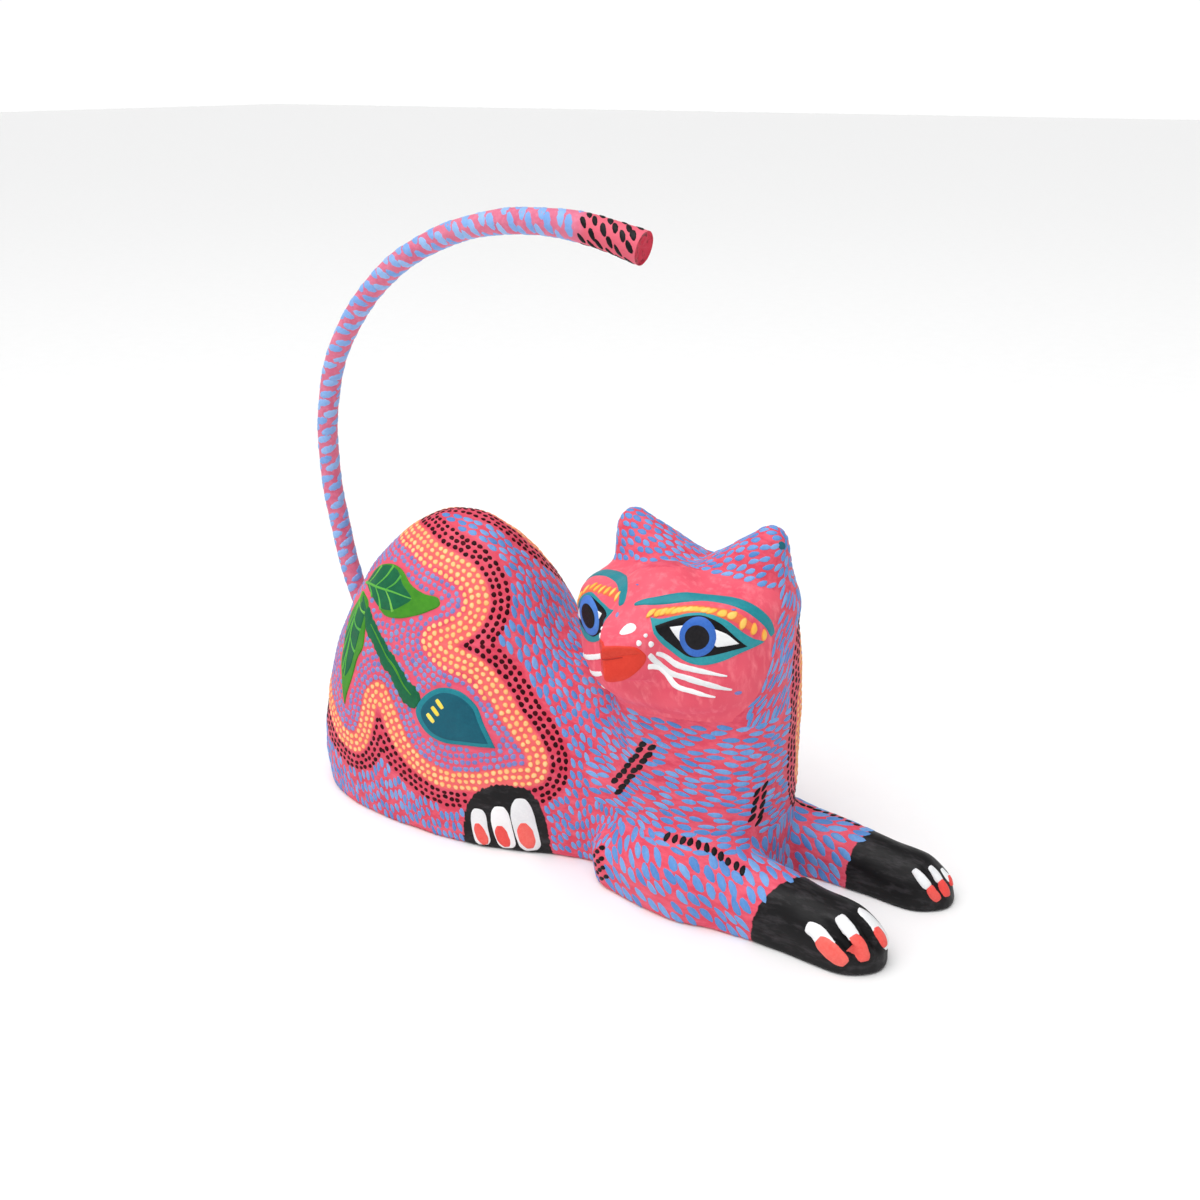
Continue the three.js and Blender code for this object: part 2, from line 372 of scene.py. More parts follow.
class Film:
    """Collects painted marks that make one piece. rim runs from 0 in a mark's middle to 1 at its edge, and
    tone is a random number for each mark."""

    def __init__(self):
        self.vertices, self.rims, self.tones, self.faces, self.count = [], [], [], {}, 0

    def add(self, vertices, rim, tone, *faces):
        for f in faces:
            self.faces.setdefault(f.shape[1], []).append(f + self.count)
        self.vertices.append(vertices)
        self.rims.append(rim)
        self.tones.append(tone)
        self.count += len(vertices)

    def piece(self, name, material, body="body", slot="painted_block"):
        return new_piece(
            name, np.concatenate(self.vertices), [np.concatenate(v) for v in self.faces.values()],
            material, body,
            {"rim": np.concatenate(self.rims), "tone": np.concatenate(self.tones)},
        )


# Heights of the paint films over the wood: what is painted later lies on what is under it.
HIGH = dict(
    leaf=0.3, leaf_shade=0.37, vein=0.46, midrib=0.48, stem=0.32, stem_light=0.42, bud=0.34, bud_dark=0.42,
    bud_stripe=0.52, black_dab=0.2, blue_dab=0.15, toe=0.22, nail=0.32, hind_toe=0.24, hind_nail=0.33,
    eye_ground=0.16, lid=0.24, white=0.31, iris=0.38, pupil=0.45, brow_band=0.15, brow=0.2, brow_dash=0.4,
    whisker=0.26, nose=0.24, lips=0.2, upper_lip=0.28, mouth_slit_shade=0.34, speck=0.16, ear_touch=0.2,
)


def ring_faces(rings, sides):
    """Faces of a centre point with rings of sides points round it."""
    i = np.arange(sides)
    j = (i + 1) % sides
    fan = np.stack((np.zeros(sides, int), 1 + i, 1 + j), 1)
    bands = [np.stack((1 + r * sides + i, 1 + (r + 1) * sides + i, 1 + (r + 1) * sides + j,
                       1 + r * sides + j), 1) for r in range(rings - 1)]
    return fan, np.concatenate(bands)


# A dab's rings: share of its size, and height as a share of its middle's.
DAB_RINGS = np.array(((0.55, 0.86), (0.86, 0.5), (1.0, -0.7)))


def add_rings(film, points, normals, n, sides, height):
    """Adds n dabs whose points lie on the paint, middle first and then ring by ring."""
    lift = np.concatenate(((1.0,), np.repeat(DAB_RINGS[:, 1], sides))) * height
    rim = np.concatenate(((0.0,), np.repeat(DAB_RINGS[:, 0], sides)))
    fan, bands = ring_faces(len(DAB_RINGS), sides)
    offset = (np.arange(n) * len(rim))[:, None, None]
    tone = np.repeat(rng.uniform(0, 1, n), len(rim))
    film.add(
        points + normals * np.tile(lift, n)[:, None], np.tile(rim, n), tone,
        (fan[None] + offset).reshape(-1, 3), (bands[None] + offset).reshape(-1, 4),
    )


def add_dabs(film, centres, along, length, width, height=0.16, sides=10, uneven=0.06):
    """Small domed marks on the block."""
    centres, normals = settle(np.asarray(centres, float))
    n = len(centres)
    if n == 0:
        return
    length = np.broadcast_to(length, n)[:, None]
    width = np.broadcast_to(width, n)[:, None]
    t = unit(along - normals * (along * normals).sum(1)[:, None])
    b = np.cross(normals, t)
    angle = np.arange(sides) * 2 * math.pi / sides
    phase = rng.uniform(0, 2 * math.pi, (n, 2))
    wobble = 1 + uneven * np.sin(2 * angle + phase[:, :1]) + uneven * np.sin(3 * angle + phase[:, 1:])
    u = np.cos(angle) * length / 2 * wobble
    v = np.sin(angle) * width / 2 * wobble * (1 - 0.18 * np.cos(angle) ** 2 * (length > 1.6 * width))
    parts = [centres[:, None, :]]
    for r, _ in DAB_RINGS:
        parts.append(centres[:, None, :] + r * (u[..., None] * t[:, None, :] + v[..., None] * b[:, None, :]))
    flat, flat_normals = settle(np.concatenate(parts, 1).reshape(-1, 3))
    add_rings(film, flat, flat_normals, n, sides, height)


def smooth_line(points, closed=False, per=10):
    """Centripetal Catmull-Rom through points."""
    p = np.asarray(points, float)
    n = len(p)
    if closed:
        p = np.concatenate((p[-1:], p, p[:2]))
    else:
        p = np.concatenate((2 * p[:1] - p[1:2], p, 2 * p[-1:] - p[-2:-1]))
    out = []
    for i in range(n if closed else n - 1):
        a, b, c, d = p[i:i + 4]
        t0 = 0.0
        t1 = t0 + max(norm(b - a), 1e-6) ** 0.5
        t2 = t1 + max(norm(c - b), 1e-6) ** 0.5
        t3 = t2 + max(norm(d - c), 1e-6) ** 0.5
        t = np.linspace(t1, t2, per, endpoint=False)[:, None]
        ab = (t1 - t) / (t1 - t0) * a + (t - t0) / (t1 - t0) * b
        bc = (t2 - t) / (t2 - t1) * b + (t - t1) / (t2 - t1) * c
        cd = (t3 - t) / (t3 - t2) * c + (t - t2) / (t3 - t2) * d
        abc = (t2 - t) / (t2 - t0) * ab + (t - t0) / (t2 - t0) * bc
        bcd = (t3 - t) / (t3 - t1) * bc + (t - t1) / (t3 - t1) * cd
        out.append((t2 - t) / (t2 - t1) * abc + (t - t1) / (t2 - t1) * bcd)
    if not closed:
        out.append(p[-2:-1])
    return np.concatenate(out)


def lengths(line):
    """The length from a line's start to each of its points."""
    return np.concatenate(((0,), np.cumsum(norm(np.diff(line, axis=0)))))


def along_line(s, run, line):
    """Points at lengths s along a line whose own points lie at lengths run."""
    return np.stack([np.interp(s, run, line[:, k]) for k in range(line.shape[1])], 1)


def even(line, pitch, closed=False, phase=0.0):
    """Points every pitch along a line, with the line's direction there."""
    if closed:
        line = np.concatenate((line, line[:1]))
    run = lengths(line)
    n = max(int(round(run[-1] / pitch)), 2)
    s = (np.arange(n) + (phase if closed else 0.5)) * run[-1] / n
    step = 0.3
    return along_line(s, run, line), unit(along_line(s + step, run, line) - along_line(s - step, run, line))


def add_patch(film, outline, height=0.2, place=settle, corners=(), edge=0.45, step=0.8, per=8, centre=None):
    """A filled mark whose outline its middle sees all of. Between corners the outline is smooth."""
    outline = np.asarray(outline, float)
    if len(corners):
        runs = []
        for k, start in enumerate(corners):
            end = corners[(k + 1) % len(corners)]
            index = np.arange(start, end + 1) if end > start else np.concatenate(
                (np.arange(start, len(outline)), np.arange(0, end + 1)))
            runs.append(smooth_line(outline[index], False, per)[:-1])
        line = np.concatenate(runs)
    else:
        line = smooth_line(outline, True, per)
    middle = line.mean(0) if centre is None else np.asarray(centre, float)
    size = norm(line - middle).mean()
    inner = np.linspace(0, 1 - edge / size, max(int(size / step), 2) + 1)[1:]
    radii = np.concatenate((inner, (1 - 0.45 * edge / size, 1.0)))
    lifts = np.concatenate((np.ones(len(inner)), (0.72, -0.6)))
    sides = len(line)
    flat = np.concatenate([middle[None]] + [middle + (line - middle) * r for r in radii])
    points, normals = place(flat)
    lift = np.concatenate(((1.0,), np.repeat(lifts, sides))) * height
    rim = np.concatenate(((0.0,), np.repeat(radii, sides)))
    fan, bands = ring_faces(len(radii), sides)
    outward = np.cross(points[fan[:, 1]] - points[0], points[fan[:, 2]] - points[0]).sum(0)
    if outward @ normals[0] < 0:
        fan, bands = fan[:, ::-1], bands[:, ::-1]
    film.add(points + normals * lift[:, None], rim, np.full(len(points), rng.uniform()), fan, bands)


RIBBON_ACROSS = np.array((-1.0, -0.82, -0.45, 0.0, 0.45, 0.82, 1.0))
RIBBON_LIFT = np.array((-0.6, 0.7, 0.95, 1.0, 0.95, 0.7, -0.6))


def add_stroke(film, path, widths, height=0.18, place=settle, pitch=0.5, blunt=(1.0, 1.0), ragged=0.0):
    """A brush stroke along path, with its width at even places along it. blunt is how round each end is."""
    line = smooth_line(path, False, 8)
    middle, _ = place(line)
    at, along = even(middle, pitch)
    at = np.concatenate((middle[:1], at, middle[-1:]))
    along = np.concatenate((along[:1], along, along[-1:]))
    at, normals = place(at)
    n = len(at)
    u = np.linspace(0, 1, n)
    wide = np.interp(u, np.linspace(0, 1, len(widths)), widths)
    run = norm(np.diff(at, axis=0)).sum()
    for end, at_end in ((blunt[0], u * run), (blunt[1], (1 - u) * run)):
        reach = max(end * wide.max() / 2, 0.15)
        wide = wide * np.sqrt(np.clip(1 - (1 - np.minimum(at_end / reach, 1)) ** 2, 0.0009, 1))
    if ragged:
        wide = wide * (1 + ragged * np.sin(u * run * 2.1 + rng.uniform(0, 6)) * np.sin(u * run * 0.9))
    side = unit(np.cross(normals, along))
    flat = at[:, None, :] + RIBBON_ACROSS[None, :, None] * wide[:, None, None] / 2 * side[:, None, :]
    flat, flat_normals = settle(flat.reshape(-1, 3))
    ends = np.clip(np.minimum(u, 1 - u) * run / 0.35, 0, 1)
    ends = ends * 1.6 - 0.6
    lift = np.minimum(RIBBON_LIFT[None, :], ends[:, None]) * height
    k = len(RIBBON_ACROSS)
    i = (np.arange(n - 1)[:, None] * k + np.arange(k - 1)[None, :]).ravel()
    faces = np.stack((i, i + k, i + k + 1, i + 1), 1)
    rim = np.maximum(np.abs(RIBBON_ACROSS)[None, :], np.zeros((n, 1))).ravel()
    film.add(flat + flat_normals * lift.reshape(-1, 1), rim, np.full(n * k, rng.uniform()), faces)


# ---------------------------------------------------------------- places on the head


def on_face(xz):
    """Points on the face from the head's own sideways and upward places."""
    xz = np.asarray(xz, float)
    if xz.shape[1] == 3:
        return settle(xz)
    x, z = xz[:, 0], xz[:, 1]
    deepest = 2 - 21.5 * (1 - np.minimum(np.abs(x) / 27, 1) ** 2.6) ** (1 / 2.6)
    q = np.stack((x, np.full(len(x), -42.0), z), 1)
    for _ in range(40):
        d = grid.at(from_head(q))
        q[:, 1] = np.minimum(q[:, 1] + np.maximum(d, 0) * 0.85, deepest)
    return settle(from_head(q))


def distance_to_line(points, line):
    """Distance of each point to the nearest point of a closely sampled line, and which one it is."""
    best = np.full(len(points), 1e9)
    which = np.zeros(len(points), int)
    for k in range(0, len(points), 4000):
        part = points[k:k + 4000]
        square = (part ** 2).sum(1)[:, None] - 2 * part @ line.T + (line ** 2).sum(1)[None]
        which[k:k + 4000] = square.argmin(1)
        best[k:k + 4000] = np.sqrt(np.maximum(square.min(1), 0))
    return best, which


def in_polygon(points, polygon):
    """Whether each 2-D point lies in a closed polygon."""
    inside = np.zeros(len(points), bool)
    x, y = points[:, 0], points[:, 1]
    for (x0, y0), (x1, y1) in zip(polygon, np.roll(polygon, -1, 0)):
        if y0 == y1:
            continue
        inside ^= ((y0 > y) != (y1 > y)) & (x < (x1 - x0) * (y - y0) / (y1 - y0) + x0)
    return inside


def signed(points, polygon):
    """2-D distance to a smooth polygon's edge, negative inside."""
    d, _ = distance_to_line(points, even(polygon, 0.4, True)[0])
    return np.where(in_polygon(points, even(polygon, 1.2, True)[0]), -d, d)


# ---------------------------------------------------------------- lobed bands

# Middle of the yellow band on the cat's right flank, lobe by lobe, from the spine to the rump.
LOBES = (
    (
        (-66, 0, 80.4), (-61.8, -6.8, 80.2), (-55.3, -10.6, 79.5), (-49, -12.8, 77.4), (-43, -13.6, 76),
        (-37.5, -13.9, 74), (-33.8, -14.9, 70.9), (-32.3, -16.2, 67.7), (-32.2, -17.8, 64.7),
        (-34.2, -19.7, 61.5), (-37.9, -21.6, 59), (-42.5, -22.9, 56.8),
    ),
    (
        (-42.5, -22.9, 56.8), (-39.8, -23.2, 54.8), (-35.5, -23, 53.5), (-31, -22.5, 52.4),
        (-27, -22, 49.8), (-23.8, -21.9, 46.6), (-19.3, -21.8, 40.3), (-14.2, -21.4, 34.1),
        (-11.9, -21.4, 30.9), (-10.9, -21.6, 27.6), (-11.5, -22.4, 24.7), (-16.4, -24.7, 23.6),
        (-23.1, -26.9, 21.5), (-30.2, -28.6, 20), (-37.9, -29.6, 19.5), (-44.8, -30, 21.7),
        (-50.6, -29.5, 25.9), (-54.1, -29, 31.2), (-56.7, -28.1, 35.6), (-59.8, -27.1, 39.3),
    ),
    (
        (-59.8, -27.1, 39.3), (-62.4, -27.6, 36.5), (-63.7, -28.2, 31), (-65.3, -28.6, 25.1),
        (-68.3, -28.8, 21.1), (-73.6, -27.7, 21.1), (-78.8, -25.2, 23.8), (-82.8, -22.5, 27.2),
        (-87, -17, 32),
    ),
    ((-87, -17, 32), (-90.5, -11, 26), (-92, -5, 23), (-92.6, 0, 22.5)),
)
# The left flank's first lobe stays high, along the far edge of the back.
LEFT_LOBE = (
    (-66, 0, 80.4), (-60, 4, 84), (-50, 6.5, 85), (-41, 8, 83), (-34, 9.5, 78), (-31, 12.5, 71),
    (-32.5, 17, 64), (-37.9, 21.6, 59), (-42.5, 22.9, 56.8),
)
# Middle of the yellow band on the left side of the neck and head: degrees round the neck from +X, height.
NECK_LOBES = (
    ((17, 40), (18, 50), (22, 57)), ((22, 57), (20, 63), (26, 67), (38, 68), (47, 63)),
    ((47, 63), (62, 71), (84, 70), (100, 62), (92, 52)),
    ((92, 52), (101, 44), (94, 33), (76, 26), (57, 33)), ((57, 33), (38, 25), (22, 29), (17, 40)),
)
NECK_AXIS = np.array((28.0, 0.0))


def mirrored(points):
    """A lobe on the other flank, where the same hand has painted it a little differently."""
    p = np.array(points, float)
    p[:, 1] *= -1
    shift = np.sin(np.arange(len(p)) * 1.9)[:, None] * (1.4, 0, 1.1)
    shift[np.abs(p[:, 1]) < 8] = 0
    shift[[0, -1]] = 0
    return p + shift


def from_neck(turn_height):
    """Points just outside the neck from their degrees round its axis and their heights."""
    a = np.radians(np.asarray(turn_height, float)[:, 0])
    z = np.asarray(turn_height, float)[:, 1]
    out = np.stack((np.cos(a), np.sin(a), np.zeros(len(a))), 1)
    reach = np.full(len(a), 40.0)
    foot = np.stack((np.full(len(a), NECK_AXIS[0]), np.full(len(a), NECK_AXIS[1]), z), 1)
    for _ in range(50):
        reach = np.maximum(reach - np.maximum(grid.at(foot + out * reach[:, None]), 0) * 0.8, 2)
    return foot + out * reach[:, None]


def lobed_line(lobes):
    """One line through all lobes, with a sharp corner where two of them meet."""
    return np.concatenate([smooth_line(lobe, False, 14)[:-1] for lobe in lobes] + [np.array(lobes[-1][-1:])])


left_lobes = [np.array(LEFT_LOBE, float)] + [mirrored(lobe) for lobe in LOBES[1:]]
left_lobes[1][0] = LEFT_LOBE[-1]
right_band = settle(lobed_line(LOBES))[0]
left_band = settle(lobed_line(left_lobes))[0]
rump_band = even(np.concatenate((right_band, left_band[::-1])), 0.5)[0]
neck_plan = lobed_line(NECK_LOBES)[:-1]
neck_band = even(settle(from_neck(neck_plan))[0], 0.5, True)[0]


def rump_distance(p):
    """Distance from the yellow band's middle on the haunches, negative on the tail's side."""
    d, _ = distance_to_line(p, rump_band)
    outside = []
    for band in (right_band, left_band):
        flat = even(band, 1.2)[0][:, (0, 2)]
        path = np.concatenate((flat, ((-100, flat[-1][1]), (-100, 96), (flat[0][0], 96))))
        outside.append(~in_polygon(p[:, (0, 2)], path))
    return np.where(np.where(p[:, 1] < 0, outside[0], outside[1]), d, -d)


def neck_distance(p):
    d, _ = distance_to_line(p, neck_band)
    turned = np.degrees(np.arctan2(p[:, 1] - NECK_AXIS[1], p[:, 0] - NECK_AXIS[0]))
    inside = in_polygon(np.stack((turned, p[:, 2]), 1), neck_plan)
    return np.where(inside, -d, d)


skin_rump = np.full(len(SKIN), 60.0)
part = SKIN[:, 0] < 12
skin_rump[part] = rump_distance(SKIN[part])
skin_neck = np.full(len(SKIN), 60.0)
part = (SKIN[:, 0] > -6) & (SKIN[:, 1] > -14)
skin_neck[part] = neck_distance(SKIN[part])


def contour(values, level):
    """The lines where values, one for each vertex of the block, pass level."""
    v = values - level
    above = v > 0
    mixed = above[TRIANGLES].any(1) & ~above[TRIANGLES].all(1)
    a = TRIANGLES[mixed]
    b = a[:, (1, 2, 0)]
    crossing = above[a] != above[b]
    low, high = np.minimum(a, b), np.maximum(a, b)
    share = v[low] / np.where(v[low] == v[high], 1, v[low] - v[high])
    points = SKIN[low] + share[..., None] * (SKIN[high] - SKIN[low])
    keys, inverse = np.unique((low * len(SKIN) + high)[crossing], return_inverse=True)
    pairs = inverse.reshape(-1, 2)
    place = np.zeros((len(keys), 3))
    place[inverse.ravel()] = points[crossing]
    links = [[] for _ in keys]
    for i, j in pairs.tolist():
        links[i].append(j)
        links[j].append(i)
    seen = [False] * len(keys)
    lines = []
    for start in sorted(range(len(keys)), key=lambda i: len(links[i]) == 2):
        if seen[start]:
            continue
        seen[start] = True
        chain = [start]
        while True:
            ahead = [j for j in links[chain[-1]] if not seen[j]]
            if not ahead:
                break
            seen[ahead[0]] = True
            chain.append(ahead[0])
        if len(chain) > 5:
            lines.append((place[chain], chain[0] in links[chain[-1]]))
    return lines


def row_dots(values, level, pitch):
    """Evenly spaced points along the lines where values pass level."""
    centres, along = [], []
    for line, closed in contour(values, level):
        c, t = even(line, pitch, closed, rng.uniform())
        centres.append(c)
        along.append(t)
    if not centres:
        return np.zeros((0, 3)), np.zeros((0, 3))
    return np.concatenate(centres), np.concatenate(along)


# ---------------------------------------------------------------- where each ground colour lies

MASK = (
    (-28, 11.2), (-24.5, 13.0), (-21, 13.2), (-15.5, 14.2), (-10.9, 14.8), (-6.6, 15.8), (0, 17.2),
    (4.4, 16.8), (7.3, 15.8), (10.9, 14.8), (15.5, 14.1), (19.2, 13.5), (22.4, 12.3), (25.4, 10.8),
    (28.5, 8), (29, 2), (28.6, -8), (27, -14.6), (24.5, -17.8), (21.2, -18.5), (5.5, -18.6), (-12, -18.8),
    (-21, -18.8), (-25.5, -17), (-28, -12), (-29, -3), (-29, 5),
)
# How far back the face paint runs on the cheeks: depth at heights, both in the head's frame.
MASK_BACK = ((-18, -13, -8, 2, 10, 14, 17), (-13, -9.4, -6.4, -2.8, 1.6, -3.5, -8))
mask_line = smooth_line(MASK, True, 6)
HIND_PAW = (
    (-31.2, -2), (-31.2, 3), (-30.6, 9.6), (-28.8, 14.9), (-25.7, 18.5), (-21.6, 20.6), (-17, 21),
    (-13, 20.4), (-10.2, 16.9), (-8.3, 11.7), (-7.4, 2), (-7.2, -2),
)
hind_paw_line = smooth_line(HIND_PAW, True, 6)


def mask_distance(p):
    q = to_head(p)
    d = signed(q[:, (0, 2)], mask_line)
    return np.maximum(d, q[:, 1] - np.interp(q[:, 2], *MASK_BACK))


def black_distance(p):
    """Distance to the black paint of the paws, negative in it."""
    x, y, z = p.T
    brushed = 0.1 * np.sin(y * 1.1 + 2 * np.sin(z * 0.7))
    right = 54.5 + 0.16 * z + 0.45 * (y + 26.5) - x
    left = 66.6 + 0.2 * (y - 6) - x
    d = np.where(y < -3, right, left) + brushed
    d = np.where(z < 26, d, 30)
    flank = np.full(len(p), 30.0)
    near = (y < -10) & (x < 0) & (x > -45) & (z < 30)
    flank[near] = signed(p[near][:, (0, 2)], hind_paw_line) + 0.25 * np.sin(x[near] * 4.3 + z[near])
    mirror = (y > 10) & (x < 0) & (x > -45) & (z < 30)
    flank[mirror] = signed(p[mirror][:, (0, 2)], hind_paw_line) + 0.25 * np.sin(x[mirror] * 3.7)
    return np.minimum(d, flank)


skin_mask = np.full(len(SKIN), 30.0)
part = (SKIN[:, 2] > 40) & (SKIN[:, 0] > -12)
skin_mask[part] = mask_distance(SKIN[part])
skin_black = black_distance(SKIN)

# ---------------------------------------------------------------- materials


def rgb(r, g, b):
    """A linear colour from screen values."""
    linear = [c / 255 / 12.92 if c < 10.4 else ((c / 255 + 0.055) / 1.055) ** 2.4 for c in (r, g, b)]
    return (*linear, 1.0)


class Nodes:
    """Short calls for a material's nodes."""

    def __init__(self, name):
        self.material = bpy.data.materials.new(name)
        self.material.use_nodes = True
        self.tree = self.material.node_tree
        self.shader = self.tree.nodes["Principled BSDF"]
        self.place = self.new("ShaderNodeTexCoord").outputs["Object"]

    def new(self, kind, **settings):
        node = self.tree.nodes.new(kind)
        for key, value in settings.items():
            setattr(node, key, value)
        return node

    def put(self, socket, value):
        if isinstance(value, bpy.types.NodeSocket):
            self.tree.links.new(value, socket)
        else:
            socket.default_value = value

    def field(self, name):
        return self.new("ShaderNodeAttribute", attribute_name=name).outputs["Fac"]

    def noise(self, scale, detail=3.0, rough=0.55, stretch=None):
        node = self.new("ShaderNodeTexNoise")
        vector = self.place
        if stretch:
            mapping = self.new("ShaderNodeMapping")
            mapping.inputs["Scale"].default_value = stretch
            self.put(mapping.inputs["Vector"], vector)
            vector = mapping.outputs["Vector"]
        self.put(node.inputs["Vector"], vector)
        node.inputs["Scale"].default_value = scale
        node.inputs["Detail"].default_value = detail
        node.inputs["Roughness"].default_value = rough
        return node.outputs["Fac"]

    def span(self, value, low, high, to_low=0.0, to_high=1.0, smooth=False):
        node = self.new("ShaderNodeMapRange", clamp=True)
        node.interpolation_type = "SMOOTHSTEP" if smooth else "LINEAR"
        self.put(node.inputs["Value"], value)
        for key, number in zip(("From Min", "From Max", "To Min", "To Max"), (low, high, to_low, to_high)):
            node.inputs[key].default_value = number
        return node.outputs["Result"]

    def mix(self, share, a, b):
        node = self.new("ShaderNodeMix", data_type="RGBA")
        self.put(node.inputs[0], share)
        self.put(node.inputs[6], a)
        self.put(node.inputs[7], b)
        return node.outputs[2]

    def sum(self, a, b, how="ADD"):
        node = self.new("ShaderNodeMath", operation=how)
        self.put(node.inputs[0], a)
        self.put(node.inputs[1], b)
        return node.outputs[0]

    def bump(self, height, strength, distance, after=None):
        node = self.new("ShaderNodeBump")
        node.inputs["Strength"].default_value = strength
        node.inputs["Distance"].default_value = distance
        self.put(node.inputs["Height"], height)
        if after is not None:
            self.put(node.inputs["Normal"], after)
        return node.outputs["Normal"]

    def finish(self, colour, rough, normal, gloss=0.22):
        self.put(self.shader.inputs["Base Color"], colour)
        self.put(self.shader.inputs["Roughness"], rough)
        self.put(self.shader.inputs["Normal"], normal)
        self.shader.inputs["Specular IOR Level"].default_value = gloss
        return self.material


def acrylic(name, deep, main, light, edge=None, streaks=(1, 1, 1), gloss=0.22):
    """Brushed acrylic: it varies from mark to mark and along the bristles, and thins at a mark's edge."""
    n = Nodes(name)
    tone = n.field("tone")
    rim = n.field("rim")
    broad = n.noise(300, 2.0)
    bristle = n.noise(1500, 3.0, 0.6, streaks)
    share = n.sum(n.sum(n.sum(tone, 0.45, "MULTIPLY"), n.sum(broad, 0.35, "MULTIPLY")),
                  n.sum(bristle, 0.45, "MULTIPLY"))
    colour = n.mix(n.span(share, 0.25, 0.62), deep, main)
    colour = n.mix(n.span(share, 0.62, 0.98), colour, light)
    if edge is not None:
        colour = n.mix(n.span(rim, 0.6, 0.9, smooth=True), colour, edge)
    normal = n.bump(bristle, 0.45, 0.00014, n.bump(broad, 0.25, 0.0004))
    return n.finish(colour, n.span(bristle, 0.3, 0.7, 0.38, 0.58), normal, gloss)


def painted_ground():
    """The block's ground coats: pink all over, tinted along the dotted bands, a smoother pink on the face
    and black on the paws. Wood grain shows through faintly along the block."""
    n = Nodes("pink_ground")
    broad = n.noise(42, 3.0, 0.6)
    brush = n.noise(420, 4.0, 0.62, (0.35, 1, 1))
    grain = n.noise(700, 3.0, 0.6, (0.06, 1, 1))
    pink = n.mix(n.span(broad, 0.3, 0.7), rgb(212, 62, 88), rgb(230, 80, 102))
    pink = n.mix(n.span(brush, 0.42, 0.75), pink, rgb(240, 110, 132))
    pink = n.mix(n.span(grain, 0.55, 0.8, 0, 0.35), pink, rgb(206, 52, 84))
    ring = n.field("ring")
    warm = n.span(ring, -3.4, -2.6, smooth=True)
    cool = n.span(ring, 2.6, 3.3, smooth=True)
    banded = n.sum(warm, n.sum(1.0, cool, "SUBTRACT"), "MULTIPLY")
    outer = n.sum(cool, n.span(ring, 8.4, 9.4, 1, 0, smooth=True), "MULTIPLY")
    inner = n.span(ring, -4.2, -3.2, 1, 0, smooth=True)
    pink = n.mix(n.sum(banded, 0.55, "MULTIPLY"), pink, rgb(246, 118, 104))
    pink = n.mix(n.sum(outer, 0.3, "MULTIPLY"), pink, rgb(206, 48, 76))
    pink = n.mix(n.sum(inner, 0.5, "MULTIPLY"), pink, rgb(228, 92, 124))
    ragged = n.sum(n.sum(n.noise(900, 2.0), 0.5, "SUBTRACT"), 0.9, "MULTIPLY")
    face = n.span(n.sum(n.field("face"), ragged), -0.15, 0.15, 1, 0)
    rosy = n.mix(n.span(n.noise(60, 3.0), 0.3, 0.7), rgb(226, 78, 100), rgb(240, 100, 118))
    rosy = n.mix(n.span(n.noise(520, 4.0, 0.6, (1, 1, 0.4)), 0.5, 0.8), rosy, rgb(248, 130, 142))
    colour = n.mix(face, pink, rosy)
    black = n.span(n.sum(n.field("black"), ragged), -0.12, 0.12, 1, 0)
    # Black paw paint. Its lighter grey streaks are painted sheen, not a colour the paint has.
    streak = n.noise(500, 4.0, 0.65, (0.3, 1, 1))
    black_paint_and_sheen = n.mix(n.span(streak, 0.5, 0.8), rgb(14, 13, 15), rgb(60, 57, 60))
    colour = n.mix(black, colour, black_paint_and_sheen)
    rough = n.span(brush, 0.3, 0.7, 0.40, 0.6)
    normal = n.bump(grain, 0.25, 0.0003, n.bump(brush, 0.35, 0.00025, n.bump(broad, 0.15, 0.001)))
    return n.finish(colour, rough, normal)


def raw_wood():
    n = Nodes("bare_wood")
    grain = n.noise(500, 4.0, 0.6, (0.12, 1, 1))
    fleck = n.noise(1600, 2.0)
    colour = n.mix(n.span(grain, 0.35, 0.7), rgb(214, 178, 128), rgb(160, 116, 70))
    colour = n.mix(n.span(fleck, 0.6, 0.8, 0, 0.4), colour, rgb(120, 82, 48))
    return n.finish(colour, n.span(grain, 0.3, 0.7, 0.7, 0.9), n.bump(grain, 0.5, 0.0004))


BLUE = acrylic("blue_paint", rgb(76, 128, 196), rgb(98, 150, 214), rgb(132, 176, 228), streaks=(1, 1, 0.3))
TAIL_BLUE = acrylic("tail_blue_paint", rgb(112, 156, 220), rgb(136, 178, 234), rgb(164, 198, 240))
LAVENDER = acrylic("lavender_paint", rgb(110, 114, 182), rgb(126, 138, 198), rgb(134, 160, 208))
LEMON = acrylic("lemon_paint", rgb(232, 200, 60), rgb(244, 216, 74), rgb(250, 230, 110))
YELLOW = acrylic("yellow_paint", rgb(250, 184, 112), rgb(253, 200, 136), rgb(255, 214, 156),
                 edge=rgb(248, 150, 84))
DARK = acrylic("dark_paint", rgb(30, 2, 8), rgb(52, 6, 14), rgb(86, 14, 26), gloss=0.1)
BLACK = acrylic("black_paint", rgb(6, 6, 8), rgb(12, 12, 14), rgb(34, 32, 36), gloss=0.15)
WHITE = acrylic("white_paint", rgb(226, 228, 230), rgb(242, 243, 244), rgb(250, 250, 250))
TEAL = acrylic("teal_paint", rgb(22, 116, 132), rgb(36, 140, 152), rgb(58, 160, 172))
DEEP_TEAL = acrylic("deep_teal_paint", rgb(8, 78, 98), rgb(16, 96, 114), rgb(32, 116, 132))
IRIS = acrylic("iris_paint", rgb(44, 92, 180), rgb(63, 116, 201), rgb(86, 140, 218))
GREEN = acrylic("leaf_green_paint", rgb(46, 122, 30), rgb(72, 148, 34), rgb(114, 178, 42),
                streaks=(0.4, 1, 0.4))
DEEP_GREEN = acrylic("deep_green_paint", rgb(2, 72, 50), rgb(6, 90, 58), rgb(22, 114, 68))
